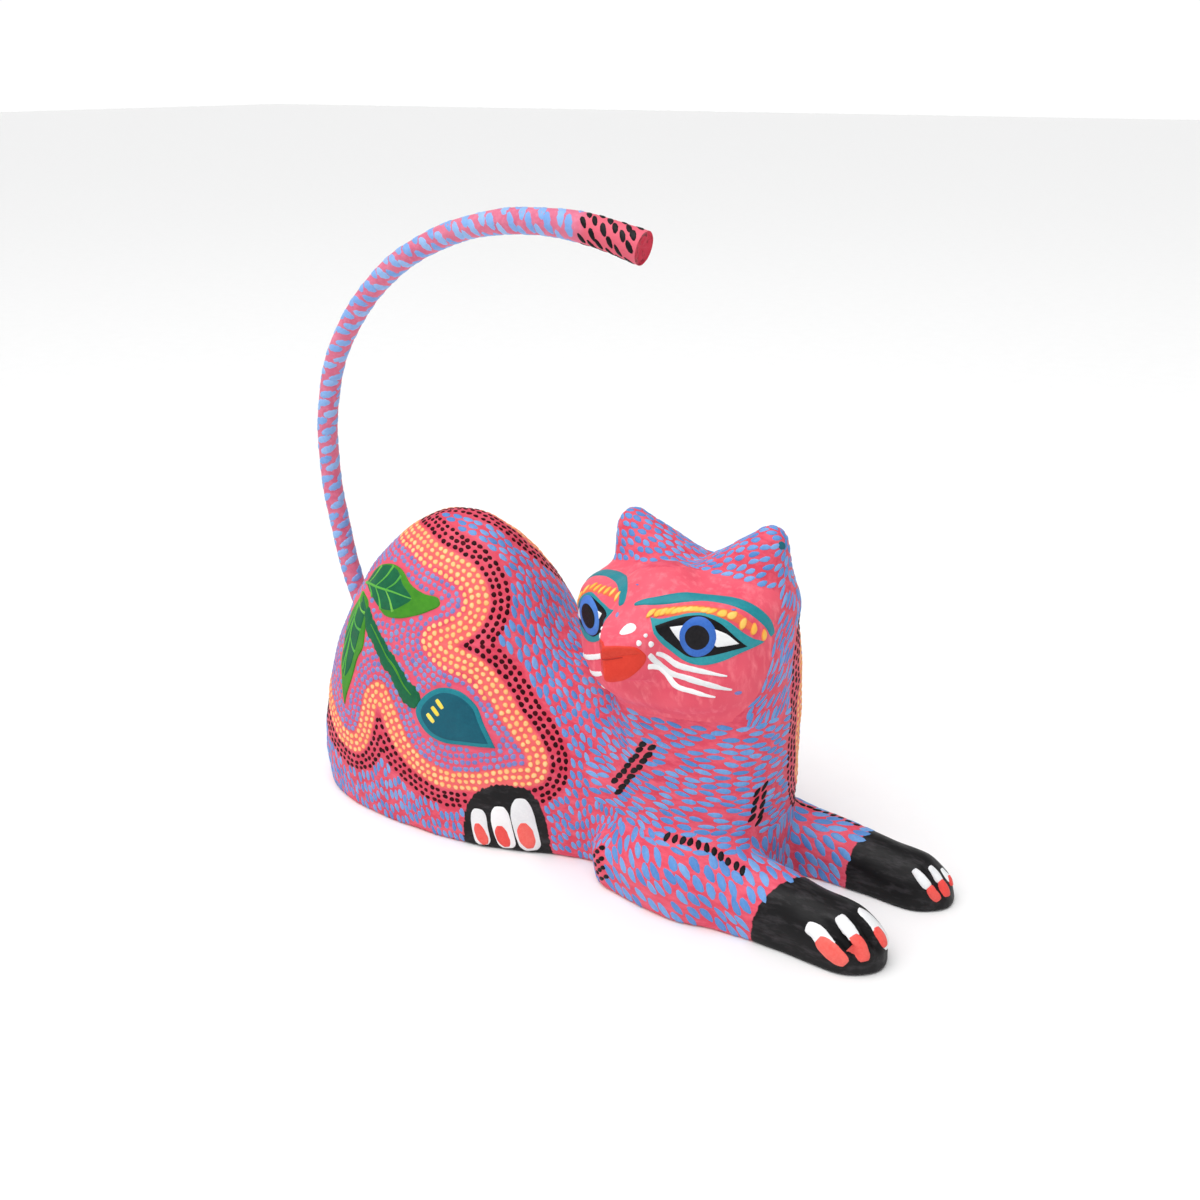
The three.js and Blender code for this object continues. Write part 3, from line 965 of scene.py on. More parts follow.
BROW_YELLOW = acrylic("brow_yellow_paint", rgb(252, 176, 60), rgb(254, 196, 84), rgb(255, 214, 120),
                      edge=rgb(244, 140, 70))
ORANGE = acrylic("orange_paint", rgb(224, 84, 70), rgb(238, 112, 78), rgb(246, 140, 92))
RED = acrylic("nail_paint", rgb(228, 66, 62), rgb(240, 84, 78), rgb(248, 118, 108))
MOUTH = acrylic("mouth_paint", rgb(218, 52, 38), rgb(230, 66, 48), rgb(240, 92, 66))
LIP = acrylic("lip_paint", rgb(196, 46, 36), rgb(212, 58, 44), rgb(224, 76, 56))
# Dark red for the mouth's slit: painted shade where the slit is not carved.
MOUTH_SLIT_SHADE = acrylic("mouth_slit_shade_paint", rgb(168, 34, 30), rgb(184, 44, 36), rgb(196, 54, 44))
VEIN = acrylic("vein_paint", rgb(70, 160, 60), rgb(92, 178, 66), rgb(130, 196, 76))

# ---------------------------------------------------------------- the block

away, _ = hole_distance(SKIN)
bored = (away < HOLE_RADIUS + 0.2) & (SKIN[:, 0] < -70)
body = new_piece(
    "carved_block", SKIN, [QUADS], painted_ground(), "body",
    {"ring": np.where(np.abs(skin_rump) < np.abs(skin_neck), skin_rump, skin_neck),
     "face": skin_mask, "black": skin_black},
)
body.data.materials.append(raw_wood())
in_hole = bored[QUADS].all(1).astype(int)
body.data.polygons.foreach_set("material_index", in_hole)
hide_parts("carved_body")

# ---------------------------------------------------------------- plants on the haunches

LEAF_UP = (
    (-72.7, -14.4, 64.3), (-69.6, -13.4, 68.7), (-63.7, -14.4, 71.9), (-58.5, -15.8, 71.8),
    (-53.6, -18, 69), (-48.5, -18.8, 67.6), (-43.9, -18.7, 67.3), (-42.9, -19.4, 65.7),
    (-46.7, -20.5, 63.2), (-51.5, -21.3, 61.1), (-55.9, -21.8, 59.8), (-61, -21.3, 59.5),
    (-66.7, -18.3, 62.5),
)
LEAF_DOWN = ((-72.4, -16.1, 62.4), (-76.5, -16.7, 56.1), (-77.4, -19.3, 49.7), (-77.6, -21.5, 43.3),
             (-76, -23.5, 37.5), (-73.6, -25.8, 30.5), (-71.4, -25.2, 38.6), (-69.5, -24.3, 45.2),
             (-67.3, -24, 49.2), (-67.8, -21.4, 55.1), (-68.3, -19.1, 61.1))
SHADE_UP = (
    (-71.8, -14.6, 64.9), (-69, -13.6, 68.6), (-63.8, -14.3, 71.4), (-59.4, -15.6, 71.2),
    (-56.4, -17.7, 68.6), (-52, -19.4, 65.6), (-54.3, -20.3, 63.4), (-58, -21.2, 61.4),
    (-63, -20.6, 60.8), (-67.4, -18.6, 62.8),
)
SHADE_DOWN = (
    (-71, -18, 60.6), (-74.8, -18.6, 54.5), (-76.8, -19.4, 48), (-76.6, -21.6, 43), (-74.6, -23.6, 38),
    (-72.3, -24.2, 41.6), (-70.6, -23.4, 47), (-69.4, -21.6, 53.2), (-69, -20.2, 58),
)
STEM = (
    (-71.5, -17, 61.5), (-66, -21.9, 55.5), (-61.6, -23.8, 52.2), (-58.1, -25.1, 48.6),
    (-55, -25.8, 46.6), (-51.8, -26.8, 43.1), (-48.1, -27.4, 40.4), (-45.6, -27.6, 38.8),
)
STEM_WIDTHS = (1.8, 4.2, 4.8, 4.6, 5.6, 5.2, 6.4, 8.0)
BUD = (
    (-46.4, -28.2, 37), (-43.8, -27, 42), (-38.6, -25.9, 45.2), (-32.9, -24.9, 45), (-28.3, -24.5, 41.9),
    (-25.6, -25, 37.2), (-22, -25.2, 31), (-29.4, -27.2, 30.6), (-37.3, -28.7, 30.2),
    (-42.9, -28.8, 32.2),
)
BUD_STRIPES = ((-41.1, -28, 36.3), (-39.8, -27.5, 38.5), (-38.6, -26.9, 40.7))
STRIPE = np.array((1.35, 0, -1.2))
# Where each pair of veins leaves the midrib, and the point of the dark patch's outline that it runs to.
VEINS = ((0.12, 1), (0.32, 2), (0.52, 3))


def flip(points, side):
    p = np.array(points, float)
    p[:, 1] *= -side
    return p


def shrink(outline, share, towards):
    p = np.asarray(outline, float)
    return p + (np.asarray(towards, float) - p) * share


leaf_green, leaf_dark, veins, stem_light, buds, bud_dark, bud_dabs, stems = (Film() for _ in range(8))
for side in (1, -1):
    for outline, shade, corners, inner in (
        (LEAF_UP, SHADE_UP, (0,), (-60, -18, 65.5)), (LEAF_DOWN, SHADE_DOWN, (0, 5), (-74, -20.5, 50)),
    ):
        outline = flip(outline, side)
        add_patch(leaf_green, outline, HIGH["leaf"], corners=corners)
        node = outline[0]
        middle = flip([inner], side)[0]
        shade = flip(shade, side)
        add_patch(leaf_dark, shade, HIGH["leaf_shade"], centre=shade.mean(0))
        # Bright veins cross the dark middle from the midrib to its edge, which they notch.
        end = shade[5] if len(corners) == 1 else shade[4]
        for share, k in VEINS:
            start = node + (end - node) * share
            for spot in (k, len(shade) - k):
                stop = (shade[spot] + shade[min(spot + 1, len(shade) - 1)]) / 2 if spot == k else shade[spot]
                bend = (start + stop) / 2 + (end - node) * 0.03
                path = (start, bend, stop + (stop - start) * 0.08)
                add_stroke(veins, path, (0.35, 0.75, 1.3), HIGH["vein"])
        add_stroke(veins, (node, (node + end) / 2, end), (1.0, 0.8, 0.4), HIGH["midrib"])
    stem = flip(STEM, side)
    add_stroke(stems, stem, STEM_WIDTHS, HIGH["stem"], ragged=0.14)
    add_stroke(stem_light, stem[1:7] + (0.3, 0, 0.6), (0.3, 0.7, 0.5, 1.0, 0.7, 0.3), HIGH["stem_light"])
    bud = flip(BUD, side)
    add_patch(buds, bud, HIGH["bud"], corners=(6,))
    add_patch(bud_dark, shrink(bud, 0.14, bud.mean(0)), HIGH["bud_dark"], corners=(6,))
    for stripe in flip(BUD_STRIPES, side):
        path = (stripe - STRIPE, stripe, stripe + STRIPE)
        add_stroke(bud_dabs, path, (1.7, 2.0, 1.6), HIGH["bud_stripe"], pitch=0.3)
leaf_green.piece("leaves", GREEN)
leaf_dark.piece("leaf_shading", DEEP_GREEN)
veins.piece("leaf_veins", VEIN)
stems.piece("plant_stems", DEEP_GREEN)
stem_light.piece("stem_highlights", GREEN)
buds.piece("bud_edges", TEAL)
bud_dark.piece("buds", DEEP_TEAL)
bud_dabs.piece("bud_dabs", LEMON)
plant_shapes = [smooth_line(np.asarray(o, float)[:, (0, 2)], True, 6) for o in (LEAF_UP, LEAF_DOWN, BUD)]
stem_line = even(smooth_line(STEM), 0.5)[0]


def clear_of_plants(p):
    flat = p[:, (0, 2)]
    ok = np.ones(len(p), bool)
    low = p[:, 0] < -18
    for shape in plant_shapes:
        ok[low] &= signed(flat[low], shape) > 0.75
    folded = p.copy()
    folded[:, 1] = -np.abs(folded[:, 1])
    ok &= distance_to_line(folded, stem_line)[0] > 2.3
    return ok


def clear(p, plants=True):
    """Where dots and dabs may go: off the face, paws, base, tail hole and, for dots, the plants."""
    ok = (black_distance(p) > 0.9) & (p[:, 2] > 1.0) & (hole_distance(p)[0] > 4.6)
    head_part = p[:, 2] > 45
    ok[head_part] &= mask_distance(p[head_part]) > 0.8
    if plants:
        ok &= clear_of_plants(p)
    return ok


# ---------------------------------------------------------------- dotted bands

# Rows of dots lie at levels from the band's middle: yellow on it, dark outside it, lavender inside it.
YELLOW_LEVELS = (-3.8, -1.9, 0, 1.9)
DARK_LEVELS = (4.0, 5.8, 7.6)
LAVENDER_FIRST, LAVENDER_STEP = -3.85, 1.85
YELLOW_ROW = dict(pitch=2.0, size=(1.4, 1.7), stretch=1.12, height=0.17, jitter=0.1, sides=9)
DARK_ROW = dict(pitch=2.05, size=(1.2, 1.5), stretch=1.22, height=0.15, jitter=0.14, sides=9)
LAVENDER_ROW = dict(pitch=1.85, size=(1.35, 1.7), stretch=1.12, height=0.14, jitter=0.12, sides=8)
# The haunch's band has a fourth yellow row above this height. Elsewhere a lavender row takes its place.
FOURTH_ROW = 44


def everywhere(p):
    return np.ones(len(p), bool)


def fourth_yellow(p):
    return (p[:, 2] > FOURTH_ROW) & (p[:, 0] < 0)


def fourth_lavender(p):
    return ~fourth_yellow(p)


def dot_row(film, values, level, where, pitch, size, stretch, height, jitter, sides):
    centres, along = row_dots(values, level, pitch)
    ok = clear(centres) & where(centres)
    shift = rng.normal(0, jitter, (ok.sum(), 3))
    width = rng.uniform(*size, ok.sum())
    add_dabs(film, centres[ok] + shift, along[ok], width * stretch, width, height, sides=sides)


yellow_dots, dark_dots, lavender_dots = Film(), Film(), Film()
for values, deepest in ((skin_rump, -40.0), (skin_neck, -22.0)):
    for level in YELLOW_LEVELS:
        where = fourth_yellow if level == YELLOW_LEVELS[0] else everywhere
        dot_row(yellow_dots, values, level, where, **YELLOW_ROW)
    for level in DARK_LEVELS:
        dot_row(dark_dots, values, level, everywhere, **DARK_ROW)
    level = LAVENDER_FIRST
    while level > deepest:
        where = fourth_lavender if level == LAVENDER_FIRST else everywhere
        dot_row(lavender_dots, values, level, where, **LAVENDER_ROW)
        level -= LAVENDER_STEP
yellow_dots.piece("yellow_dots", YELLOW)
dark_dots.piece("dark_dots", DARK)
lavender_dots.piece("lavender_dots", LAVENDER)

# ---------------------------------------------------------------- black dab rows on chest, elbow and legs

# Centre line, columns, pitch along it, dab length and width, and the dabs' slant in degrees from level.
CLUSTERS = (
    (
        ((22.6, -21.2, 45.6), (20.3, -21.1, 39.8), (16.6, -20, 34.4), (11.2, -18.9, 26.2)),
        2,
        2.5,
        3.6,
        1.7,
        35,
    ),
    (((49, -11.8, 37), (48.7, -12.4, 31), (48.2, -13.5, 25)), 2, 2.3, 3.2, 1.5, 50),
    (((10, -24.6, 12), (10.9, -26.2, 7.6), (12, -26.4, 3)), 3, 2.3, 2.5, 1.4, 30),
    (
        ((28.6, -24.6, 20.3), (38.9, -23, 20), (44.8, -22.6, 18.1), (50.6, -22.8, 16.5)),
        1,
        2.1,
        3.0,
        1.7,
        80,
    ),
    (((46, 13, 17.2), (50.2, 14.3, 16.5), (57, 16, 15), (66, 16, 13.5)), 1, 2.1, 2.6, 1.4, 80),
)
black_dabs = Film()
taken = []
for path, columns, pitch, long, wide, slant in CLUSTERS:
    line = settle(smooth_line(path))[0]
    at, along = even(line, pitch)
    at, normals = settle(at)
    side = unit(np.cross(normals, along))
    level = unit(np.cross((0, 0, 1.0), normals))
    up = np.cross(normals, level)
    direction = level * math.cos(math.radians(slant)) + up * math.sin(math.radians(slant))
    for column in range(columns):
        offset = (column - (columns - 1) / 2) * (long * 0.72)
        spots = at + side * offset + along * (0.5 * pitch * (column % 2))
        spots = spots + rng.normal(0, 0.12, spots.shape)
        if columns > 1 and column == 0:
            spots, way = spots[1:], direction[1:]
        else:
            way = direction
        add_dabs(black_dabs, spots, way, long * rng.uniform(0.9, 1.15, len(spots)), wide, HIGH["black_dab"])
        taken.append(settle(spots)[0])
black_dabs.piece("black_dabs", BLACK)
taken = np.concatenate(taken)

# ---------------------------------------------------------------- blue dabs

# Space between dabs, how far two may overlap, width of a column, and how far a dab's neighbours may lie.
GAP = 0.2
CLOSEST = 0.86
COLUMN = 0.35
REACH = 6.4


def brush_style(p, normal):
    """Direction, length and width of the blue dabs at each point."""
    x, y, z = p.T
    n = len(p)
    direction = np.tile((0.30, 0.0, -1.0), (n, 1))
    size = np.tile((3.8, 1.7), (n, 1))

    def choose(where, way, long, wide):
        direction[where] = way
        size[where] = (long, wide)

    choose((x < -20) & (z < 22), (0.15, 0, -1), 3.3, 1.45)
    choose((x < -14) & (normal[:, 2] > 0.62), (1, 0.1, -0.5), 3.2, 1.8)
    q = to_head(p)
    on_head = (q[:, 2] > -19.5) & (z > 46) & (np.abs(q[:, 0]) < 30) & (np.abs(q[:, 1]) < 26)
    neck = (x > 0) & ~on_head & (z > 19)
    choose(neck, (1, 0, 0), 4.5, 1.5)
    across = np.cross((0, 0, 1.0), normal)
    direction[neck] = across[neck] + (0, 0, -0.05)
    choose((x > -12) & (x < 2) & ~on_head, (0.5, 0, -0.8), 2.9, 1.5)
    choose((x > 0) & (x < 14) & (z < 19), (0.1, 0, -1), 2.9, 1.4)
    legs = (x > 14) & (z <= 19)
    choose(legs, (0.75, 0, -1), 5.2, 2.2)
    direction[legs, 1] += 0.55 * np.sign(y[legs]) * np.maximum(normal[legs, 2], 0)
    choose(on_head & (q[:, 1] > -18), (0, 0.7, 0.85), 4.8, 1.15)
    choose(on_head & (q[:, 2] < -13) & (q[:, 1] < -10), (1, 0, 0), 5.0, 1.8)
    choose(on_head & (q[:, 1] > 8) & (q[:, 2] < 14), (0.35, 0, 1), 3.8, 1.6)
    choose(on_head & (q[:, 0] < -18) & (q[:, 2] < 10), (0, 0.4, 0.9), 3.8, 1.4)
    top = on_head & (q[:, 2] > 10.5)
    choose(top & (q[:, 0] < 0), (0.8, 0, -0.5), 2.9, 1.6)
    choose(top & (q[:, 0] >= 0), (0.9, 0, 0.45), 3.0, 1.5)
    return direction, size


corner = SKIN[TRIANGLES]
area = norm(np.cross(corner[:, 1] - corner[:, 0], corner[:, 2] - corner[:, 0])) / 2
wanted = int(area.sum() * (4.5))
pick = rng.choice(len(area), wanted, p=area / area.sum())
mix = rng.dirichlet((1, 1, 1), wanted)
spots = (corner[pick] * mix[..., None]).sum(1)
spots = spots[spots[:, 2] > 1.3]
spots = spots[clear(spots, plants=False)]
ring = np.full(len(spots), 60.0)
part = spots[:, 0] < 12
ring[part] = rump_distance(spots[part])
part = (spots[:, 0] > -6) & (spots[:, 1] > -14)
ring[part] = np.minimum(ring[part], neck_distance(spots[part]))
spots = spots[(ring > 9.4) & (distance_to_line(spots, taken)[0] > 1.9)]
spots, normals = settle(spots, 1)
way, size = brush_style(spots, normals)
way = unit(way - normals * (way * normals).sum(1)[:, None])
cross = np.cross(normals, way)
# Painters fill row by row, so the marks are laid side by side in thin columns, each as close as it fits.
column = np.round((spots * cross).sum(1) / COLUMN)
down = (spots * way).sum(1) + rng.uniform(0, 1.5, len(spots))
cells = {}
chosen = []
for i in np.lexsort((down, column)).tolist():
    p = spots[i]
    key = tuple((p // REACH).astype(int))
    near = [j for a in (-1, 0, 1) for b in (-1, 0, 1) for c in (-1, 0, 1)
            for j in cells.get((key[0] + a, key[1] + b, key[2] + c), ())]
    if near:
        rel = spots[near] - p
        u = rel @ way[i] / (size[i][0] + GAP)
        v = norm(rel - (rel @ way[i])[:, None] * way[i]) / (size[i][1] + GAP)
        if ((u * u + v * v) < CLOSEST).any():
            continue
    cells.setdefault(key, []).append(i)
    chosen.append(i)
chosen = np.array(chosen)
spread = rng.uniform(0.94, 1.1, (len(chosen), 2))
lean = rng.normal(0, 0.09, len(chosen))[:, None]
for name, part in (("blue_dabs_rear", spots[chosen, 0] < -10), ("blue_dabs_front", spots[chosen, 0] >= -10)):
    blue_dabs = Film()
    k = chosen[part]
    add_dabs(blue_dabs, spots[k], way[k] + lean[part] * cross[k], size[k, 0] * spread[part, 0],
             size[k, 1] * spread[part, 1], HIGH["blue_dab"], uneven=0.07)
    blue_dabs.piece(name, BLUE)

# ---------------------------------------------------------------- toes and nails

# Each mark's middle line, and its widths along it.
TOES = (
    (((68, -26.4, 9.9), (70.9, -26.2, 9.2), (75.5, -27, 6)), (3.0, 4.8, 5.0)),
    (((74.4, -22.4, 13), (76.5, -23.5, 12), (80, -24.8, 9)), (2.6, 4.2, 4.4)),
    (((77.6, -17.9, 13.1), (80.8, -17.4, 11.2), (84, -18, 8.2), (85.8, -18, 5)), (2.6, 4.6, 5.4, 4.6)),
    (((82.7, 8.9, 10.2), (84.9, 8, 9.4), (88, 7.4, 7.2)), (1.6, 3.0, 3.2)),
    (((86.1, 12, 10.9), (88.1, 11.8, 9.8), (90.2, 11.2, 7.8)), (1.6, 3.0, 3.2)),
    (((88.8, 15.6, 9.4), (90.3, 15.3, 8.1), (92, 15.4, 6)), (1.6, 2.8, 3.2)),
)
NAILS = (
    (((71.3, -26.9, 8), (74.9, -27.3, 6.2), (79, -26.9, 3.6)), (4.4, 5.6, 4.2)),
    (((78.9, -24.5, 10.5), (81.2, -25.1, 8.1), (82.8, -25, 4.4)), (3.6, 4.6, 3.6)),
    (((82.6, -18.4, 10.5), (84.1, -19.1, 9), (85.6, -19.2, 6.2)), (3.0, 4.0, 3.0)),
    (((87.7, 7.5, 7.7), (89.2, 7.4, 6.1), (90.8, 8.2, 3.3)), (2.8, 3.6, 2.6)),
    (((89.7, 11.3, 8.4), (91.2, 10.9, 6.6), (92.6, 10.7, 3.7)), (2.4, 3.2, 2.4)),
    (((90.6, 16, 7.7), (91.6, 15.5, 6.9), (92.8, 14.8, 4.8)), (2.0, 2.8, 2.0)),
)
HIND_TOES = (
    (((-26.4, -28.2, 12.6), (-26.4, -28.1, 7.2), (-25.6, -27.6, 0.8)), (4.4, 5.4, 5.4, 5.0)),
    (((-20.6, -26.7, 14.4), (-20, -26.7, 8.6), (-18.8, -25.6, 0.7)), (4.8, 6.2, 6.2, 5.6)),
    (((-15, -24.6, 17.6), (-14.1, -24.4, 10.1), (-12.5, -23.3, 0.8)), (5.4, 7.4, 7.4, 6.4)),
)
HIND_NAILS = (
    (((-27, -28.1, 8), (-26.1, -27.8, 4.4), (-24.9, -27.5, 1.0)), (2.2, 4.0, 4.2, 2.6)),
    (((-20.5, -26.8, 8.6), (-20, -26.3, 4.8), (-19, -25.7, 1.2)), (2.6, 4.4, 4.6, 3.0)),
    (((-14.3, -24.4, 10.3), (-13.7, -24, 6), (-12.8, -23.4, 1.6)), (3.2, 5.6, 5.6, 3.4)),
)
toes, nails = Film(), Film()
for path, widths in TOES:
    add_stroke(toes, path, widths, HIGH["toe"], blunt=(0.5, 1.0))
for path, widths in NAILS:
    add_stroke(nails, path, widths, HIGH["nail"], blunt=(0.9, 0.9))
for side in (1, -1):
    for path, widths in HIND_TOES:
        add_stroke(toes, flip(path, side), widths, HIGH["hind_toe"], blunt=(1.0, 0.7))
    for path, widths in HIND_NAILS:
        add_stroke(nails, flip(path, side), widths, HIGH["hind_nail"], blunt=(1.0, 0.9))
toes.piece("toes", WHITE)
nails.piece("nails", RED)

# ---------------------------------------------------------------- the face

eye_teal, eye_black, eye_white, iris, pupil, brow_band, brow_dashes = (Film() for _ in range(7))
TEAL_EYE = ((5.3, 8.9), (7.4, 5.6), (9.2, 1.6), (13.4, -1.4), (17.3, -2.3), (20.9, -1.6), (23.5, -0.4),
            (26.2, 0.6), (24.2, 3.9), (21.3, 7.8), (17.4, 9.9), (13.6, 9.9), (10.3, 9.1), (7.6, 8.6))
ALMOND = ((6.9, 7.2), (9.9, 8.3), (13.4, 9.3), (17.0, 9.4), (20.3, 7.6), (23.0, 3.6), (24.5, 0.9),
          (22.1, 0.6), (18.1, -0.2), (14.5, -0.4), (12.1, 0.8), (9.4, 3.2))
WHITE_IN = ((9.8, 6.9), (13.6, 7.5), (14.4, 4), (12.4, 3.1))
WHITE_OUT = ((19.2, 6.7), (21.4, 5.0), (23.4, 2.0), (19.8, 2.0), (18.4, 4))
# Sideways and upward places in the head's frame. A third number is the depth, where the face turns away.
RIGHT_BROW = ((0.6, 11, -23), (2.6, 11.7, -22), (5.3, 12, -20.4), (10.7, 12.3, -15.7), (14.8, 11.8, -12.6),
              (18.4, 11.4, -11), (22, 10.2, -9.3), (24.6, 7.6, -7), (26, 4, -4.4), (26.2, 1.2, -3))
LEFT_BROW = (
    (-3.2, 10, -22.9), (-5, 12.2, -19.5), (-10.7, 12.7, -13.6), (-17.2, 12.3, -10), (-21.8, 11, -8.6),
    (-24.8, 8, -8), (-26.4, 4, -7),
)
RIGHT_DASHES = (
    (5.4, 9.7), (6.9, 9.7), (7.9, 9.9), (9.1, 10), (10.3, 10), (11.4, 10.2), (12.8, 10.5), (14.2, 10.8),
    (15.5, 10.9), (16.8, 10.8), (18.2, 10.6), (20.2, 9.8), (21.9, 9), (23.5, 6.6), (24.9, 4.7), (26, 2.4),
)
LEFT_DASHES = (
    (-6.3, 11.3), (-8.9, 11.5), (-11.2, 11.5), (-13.4, 11.3), (-15.6, 11.2), (-17.8, 11), (-20, 9.6),
    (-22.2, 7.6), (-24, 5.2), (-25.2, 2.6),
)
# Half widths and half heights of iris and pupil. The cat's right eye is painted rounder than its left.
EYES = (
    (
        1, (16.0, 4.5), (4.0, 4.85), (2.8, 3.25), RIGHT_BROW,
        (0.8, 2.2, 2.9, 3.3, 3.1, 3.1, 3.4, 3.2, 2.8, 2.2), RIGHT_DASHES,
    ),
    (
        -1, (-16.0, 4.6), (5.2, 4.9), (3.6, 3.3), LEFT_BROW, (2.4, 3.0, 3.4, 3.8, 3.8, 3.4, 2.8),
        LEFT_DASHES,
    ),
)
HEAD_UP = HEAD_AXES[:, 2]


def on_head(points):
    """Points on the head from a mixed list of (sideways, up) and (sideways, up, depth) places."""
    out = []
    for point in points:
        if len(point) == 2:
            out.append(on_face([point])[0][0])
        else:
            out.append(settle(from_head(np.array([(point[0], point[2], point[1])], float)))[0][0])
    return np.array(out)


def ellipse(centre, half):
    return np.array(centre) + np.stack((half[0] * np.cos(full_turn), half[1] * np.sin(full_turn)), 1)


def sided(points, side):
    p = np.array(points, float)
    p[:, 0] *= side
    return p


full_turn = np.linspace(0, 2 * math.pi, 16, endpoint=False)
for side, eye_at, iris_half, pupil_half, brow, brow_widths, dashes in EYES:
    add_patch(
        eye_teal, sided(TEAL_EYE, side), HIGH["eye_ground"], on_face, corners=(0, 7), centre=(side * 15.5, 4),
    )
    add_patch(eye_black, sided(ALMOND, side), HIGH["lid"], on_face, corners=(0, 6), centre=(side * 15.5, 4.4))
    add_patch(eye_white, sided(WHITE_IN, side), HIGH["white"], on_face, corners=(0, 1, 3), edge=0.3)
    add_patch(eye_white, sided(WHITE_OUT, side), HIGH["white"], on_face, corners=(0, 2, 3), edge=0.3)
    add_patch(iris, ellipse(eye_at, iris_half), HIGH["iris"], on_face)
    add_patch(pupil, ellipse(eye_at, pupil_half), HIGH["pupil"], on_face)
    at = on_head(dashes)
    add_stroke(brow_band, at[::2], (1.6, 2.8, 3.0, 3.0, 2.6, 1.6), HIGH["brow_band"])
    add_stroke(eye_teal, on_head(brow), brow_widths, HIGH["brow"])
    # The last few dashes, on the brow's outer end, are broader and lean outwards.
    outer = np.arange(len(at)) >= len(at) - (5 if side > 0 else 3)
    slope = np.where(outer, 1.2, 0.75 if side > 0 else -0.1)
    lean = HEAD_UP + slope[:, None] * HEAD_AXES[:, 0]
    long, wide = np.where(outer, 3.4, 3.5), np.where(outer, 2.1, 1.5)
    add_dabs(brow_dashes, at, lean, long, wide, HIGH["brow_dash"], sides=12)
eye_teal.piece("eye_surrounds", TEAL)
eye_black.piece("eye_lids", BLACK)
eye_white.piece("eye_whites", WHITE)
iris.piece("irises", IRIS)
pupil.piece("pupils", BLACK)
brow_band.piece("brow_bands", ORANGE)
brow_dashes.piece("brow_dashes", BROW_YELLOW)

whiskers, nose, lips, upper_lip, mouth_slit_shade, specks = (Film() for _ in range(6))
WHISKERS = (
    (((7.6, 0.7), (11.2, -2.1), (15.3, -3.2), (18.4, -4.0), (21.8, -5.2)), (1.0, 1.6, 1.6, 1.1, 0.35)),
    (((6.9, 0.9), (7.6, -1.4), (9.7, -4.0), (13.9, -5.3), (18.4, -6.9), (22.4, -8.8)),
     (1.5, 1.5, 1.5, 1.7, 1.4, 0.35)),
    (((6.6, -2.1), (7.9, -2.7), (9.4, -4.5), (11.5, -7.4), (15.3, -8.7), (19.5, -10.3)),
     (1.5, 1.6, 1.6, 1.5, 1.2, 0.3)),
    (((-9.5, -3.4), (-12.2, -4.7), (-19.2, -7.1), (-23.5, -8.2)), (1.2, 1.6, 1.3, 0.4)),
    (((-11.5, -9), (-14.4, -10.2), (-19, -11.6), (-23, -12.6)), (1.2, 1.6, 1.3, 0.4)),
)
for path, widths in WHISKERS:
    add_stroke(whiskers, path, widths, HIGH["whisker"], on_face, blunt=(1, 0.5), ragged=0.08)
round_turn = np.linspace(0, 2 * math.pi, 10, endpoint=False)
circle = np.stack((np.cos(round_turn), np.sin(round_turn)), 1)
NOSE_MARKS = (
    ((1.7, 6.4), 4.4, 3.4), ((6.3, 5.5), 1.1, 1.1), ((5.8, 4.2), 1.5, 1.5), ((7.3, 3.3), 1.6, 1.6),
    ((-6.3, 5.3), 1.1, 1.1), ((-5.9, 3.9), 1.5, 1.5), ((-7.3, 3.2), 1.6, 1.6), ((-14.5, -14.5), 1.4, 1.4),
)
for spot, long, wide in NOSE_MARKS:
    slanted = HEAD_UP + 0.5 * HEAD_AXES[:, 0]
    add_dabs(nose, on_head([spot]), slanted[None], long, wide, HIGH["nose"], sides=14)
LIPS = (
    (-6.6, 1.2), (-5.6, 3.4), (-3, 4.1), (0, 4.3), (3, 4.1), (5.6, 3.4), (6.7, 1.2), (6.5, -0.9),
    (5.2, -3.0), (3.0, -4.7), (0, -5.3), (-3.0, -4.7), (-5.2, -3.0), (-6.5, -0.9),
)
UPPER_LIP = (
    (-6.3, 1.7), (-5.4, 3.2), (-3, 3.9), (0, 4.1), (3, 3.9), (5.4, 3.2), (6.4, 1.7), (3.2, 1.8), (0, 1.5),
    (-3.2, 1.8),
)
add_patch(lips, LIPS, HIGH["lips"], on_face, step=0.6, per=6)
add_patch(upper_lip, UPPER_LIP, HIGH["upper_lip"], on_face, corners=(0, 6), step=0.6)
# A dark red line painted along the mouth's slit: painted shade standing in for a carved groove.
add_stroke(mouth_slit_shade, ((-3.4, 1.4), (0, 1.2), (3.4, 1.4)), (0.3, 0.5, 0.5, 0.3), HIGH["mouth_slit_shade"], on_face)
for spot in ((-1.8, 16.3), (22.4, 11.1), (-3.4, 8.4), (23, -10)):
    add_patch(specks, np.array(spot) + circle * 0.55, HIGH["speck"], on_face, edge=0.25, step=0.3)
whiskers.piece("whiskers", WHITE)
nose.piece("nose_marks", WHITE)
lips.piece("lips", MOUTH)
upper_lip.piece("upper_lip", LIP)
mouth_slit_shade.piece("mouth_slit_shade", MOUTH_SLIT_SHADE)
specks.piece("paint_specks", LAVENDER)
ear_touch = Film()
ear_spot = from_head(np.array(((24.7, 4.1, 21.1),)))
add_dabs(ear_touch, ear_spot, np.array(((0.3, 0.6, -0.6),)), 3.0, 2.0, HIGH["ear_touch"], sides=14)
ear_touch.piece("ear_touch", DEEP_TEAL)

# ---------------------------------------------------------------- the tail


tail_line = smooth_line([(x, 0, z) for x, z in TAIL_LINE], False, 40)
tail_run = lengths(tail_line)
TAIL_LENGTH = tail_run[-1]
# The stick is drawn this much thinner than its solid, so that its paint lies within it.
TAIL_SHARE = 0.94
# Lengths along the tail: bare wood in the hole, the first blue dab, and the black dabs at the tip.
TAIL_BARE = (13.0, 14.5)
TAIL_FIRST_BLUE = 19.0
TAIL_TIP = 17
TAIL_FIRST_BLACK = TAIL_LENGTH - 15
TAIL_LAST_BLACK = TAIL_LENGTH - 1.4


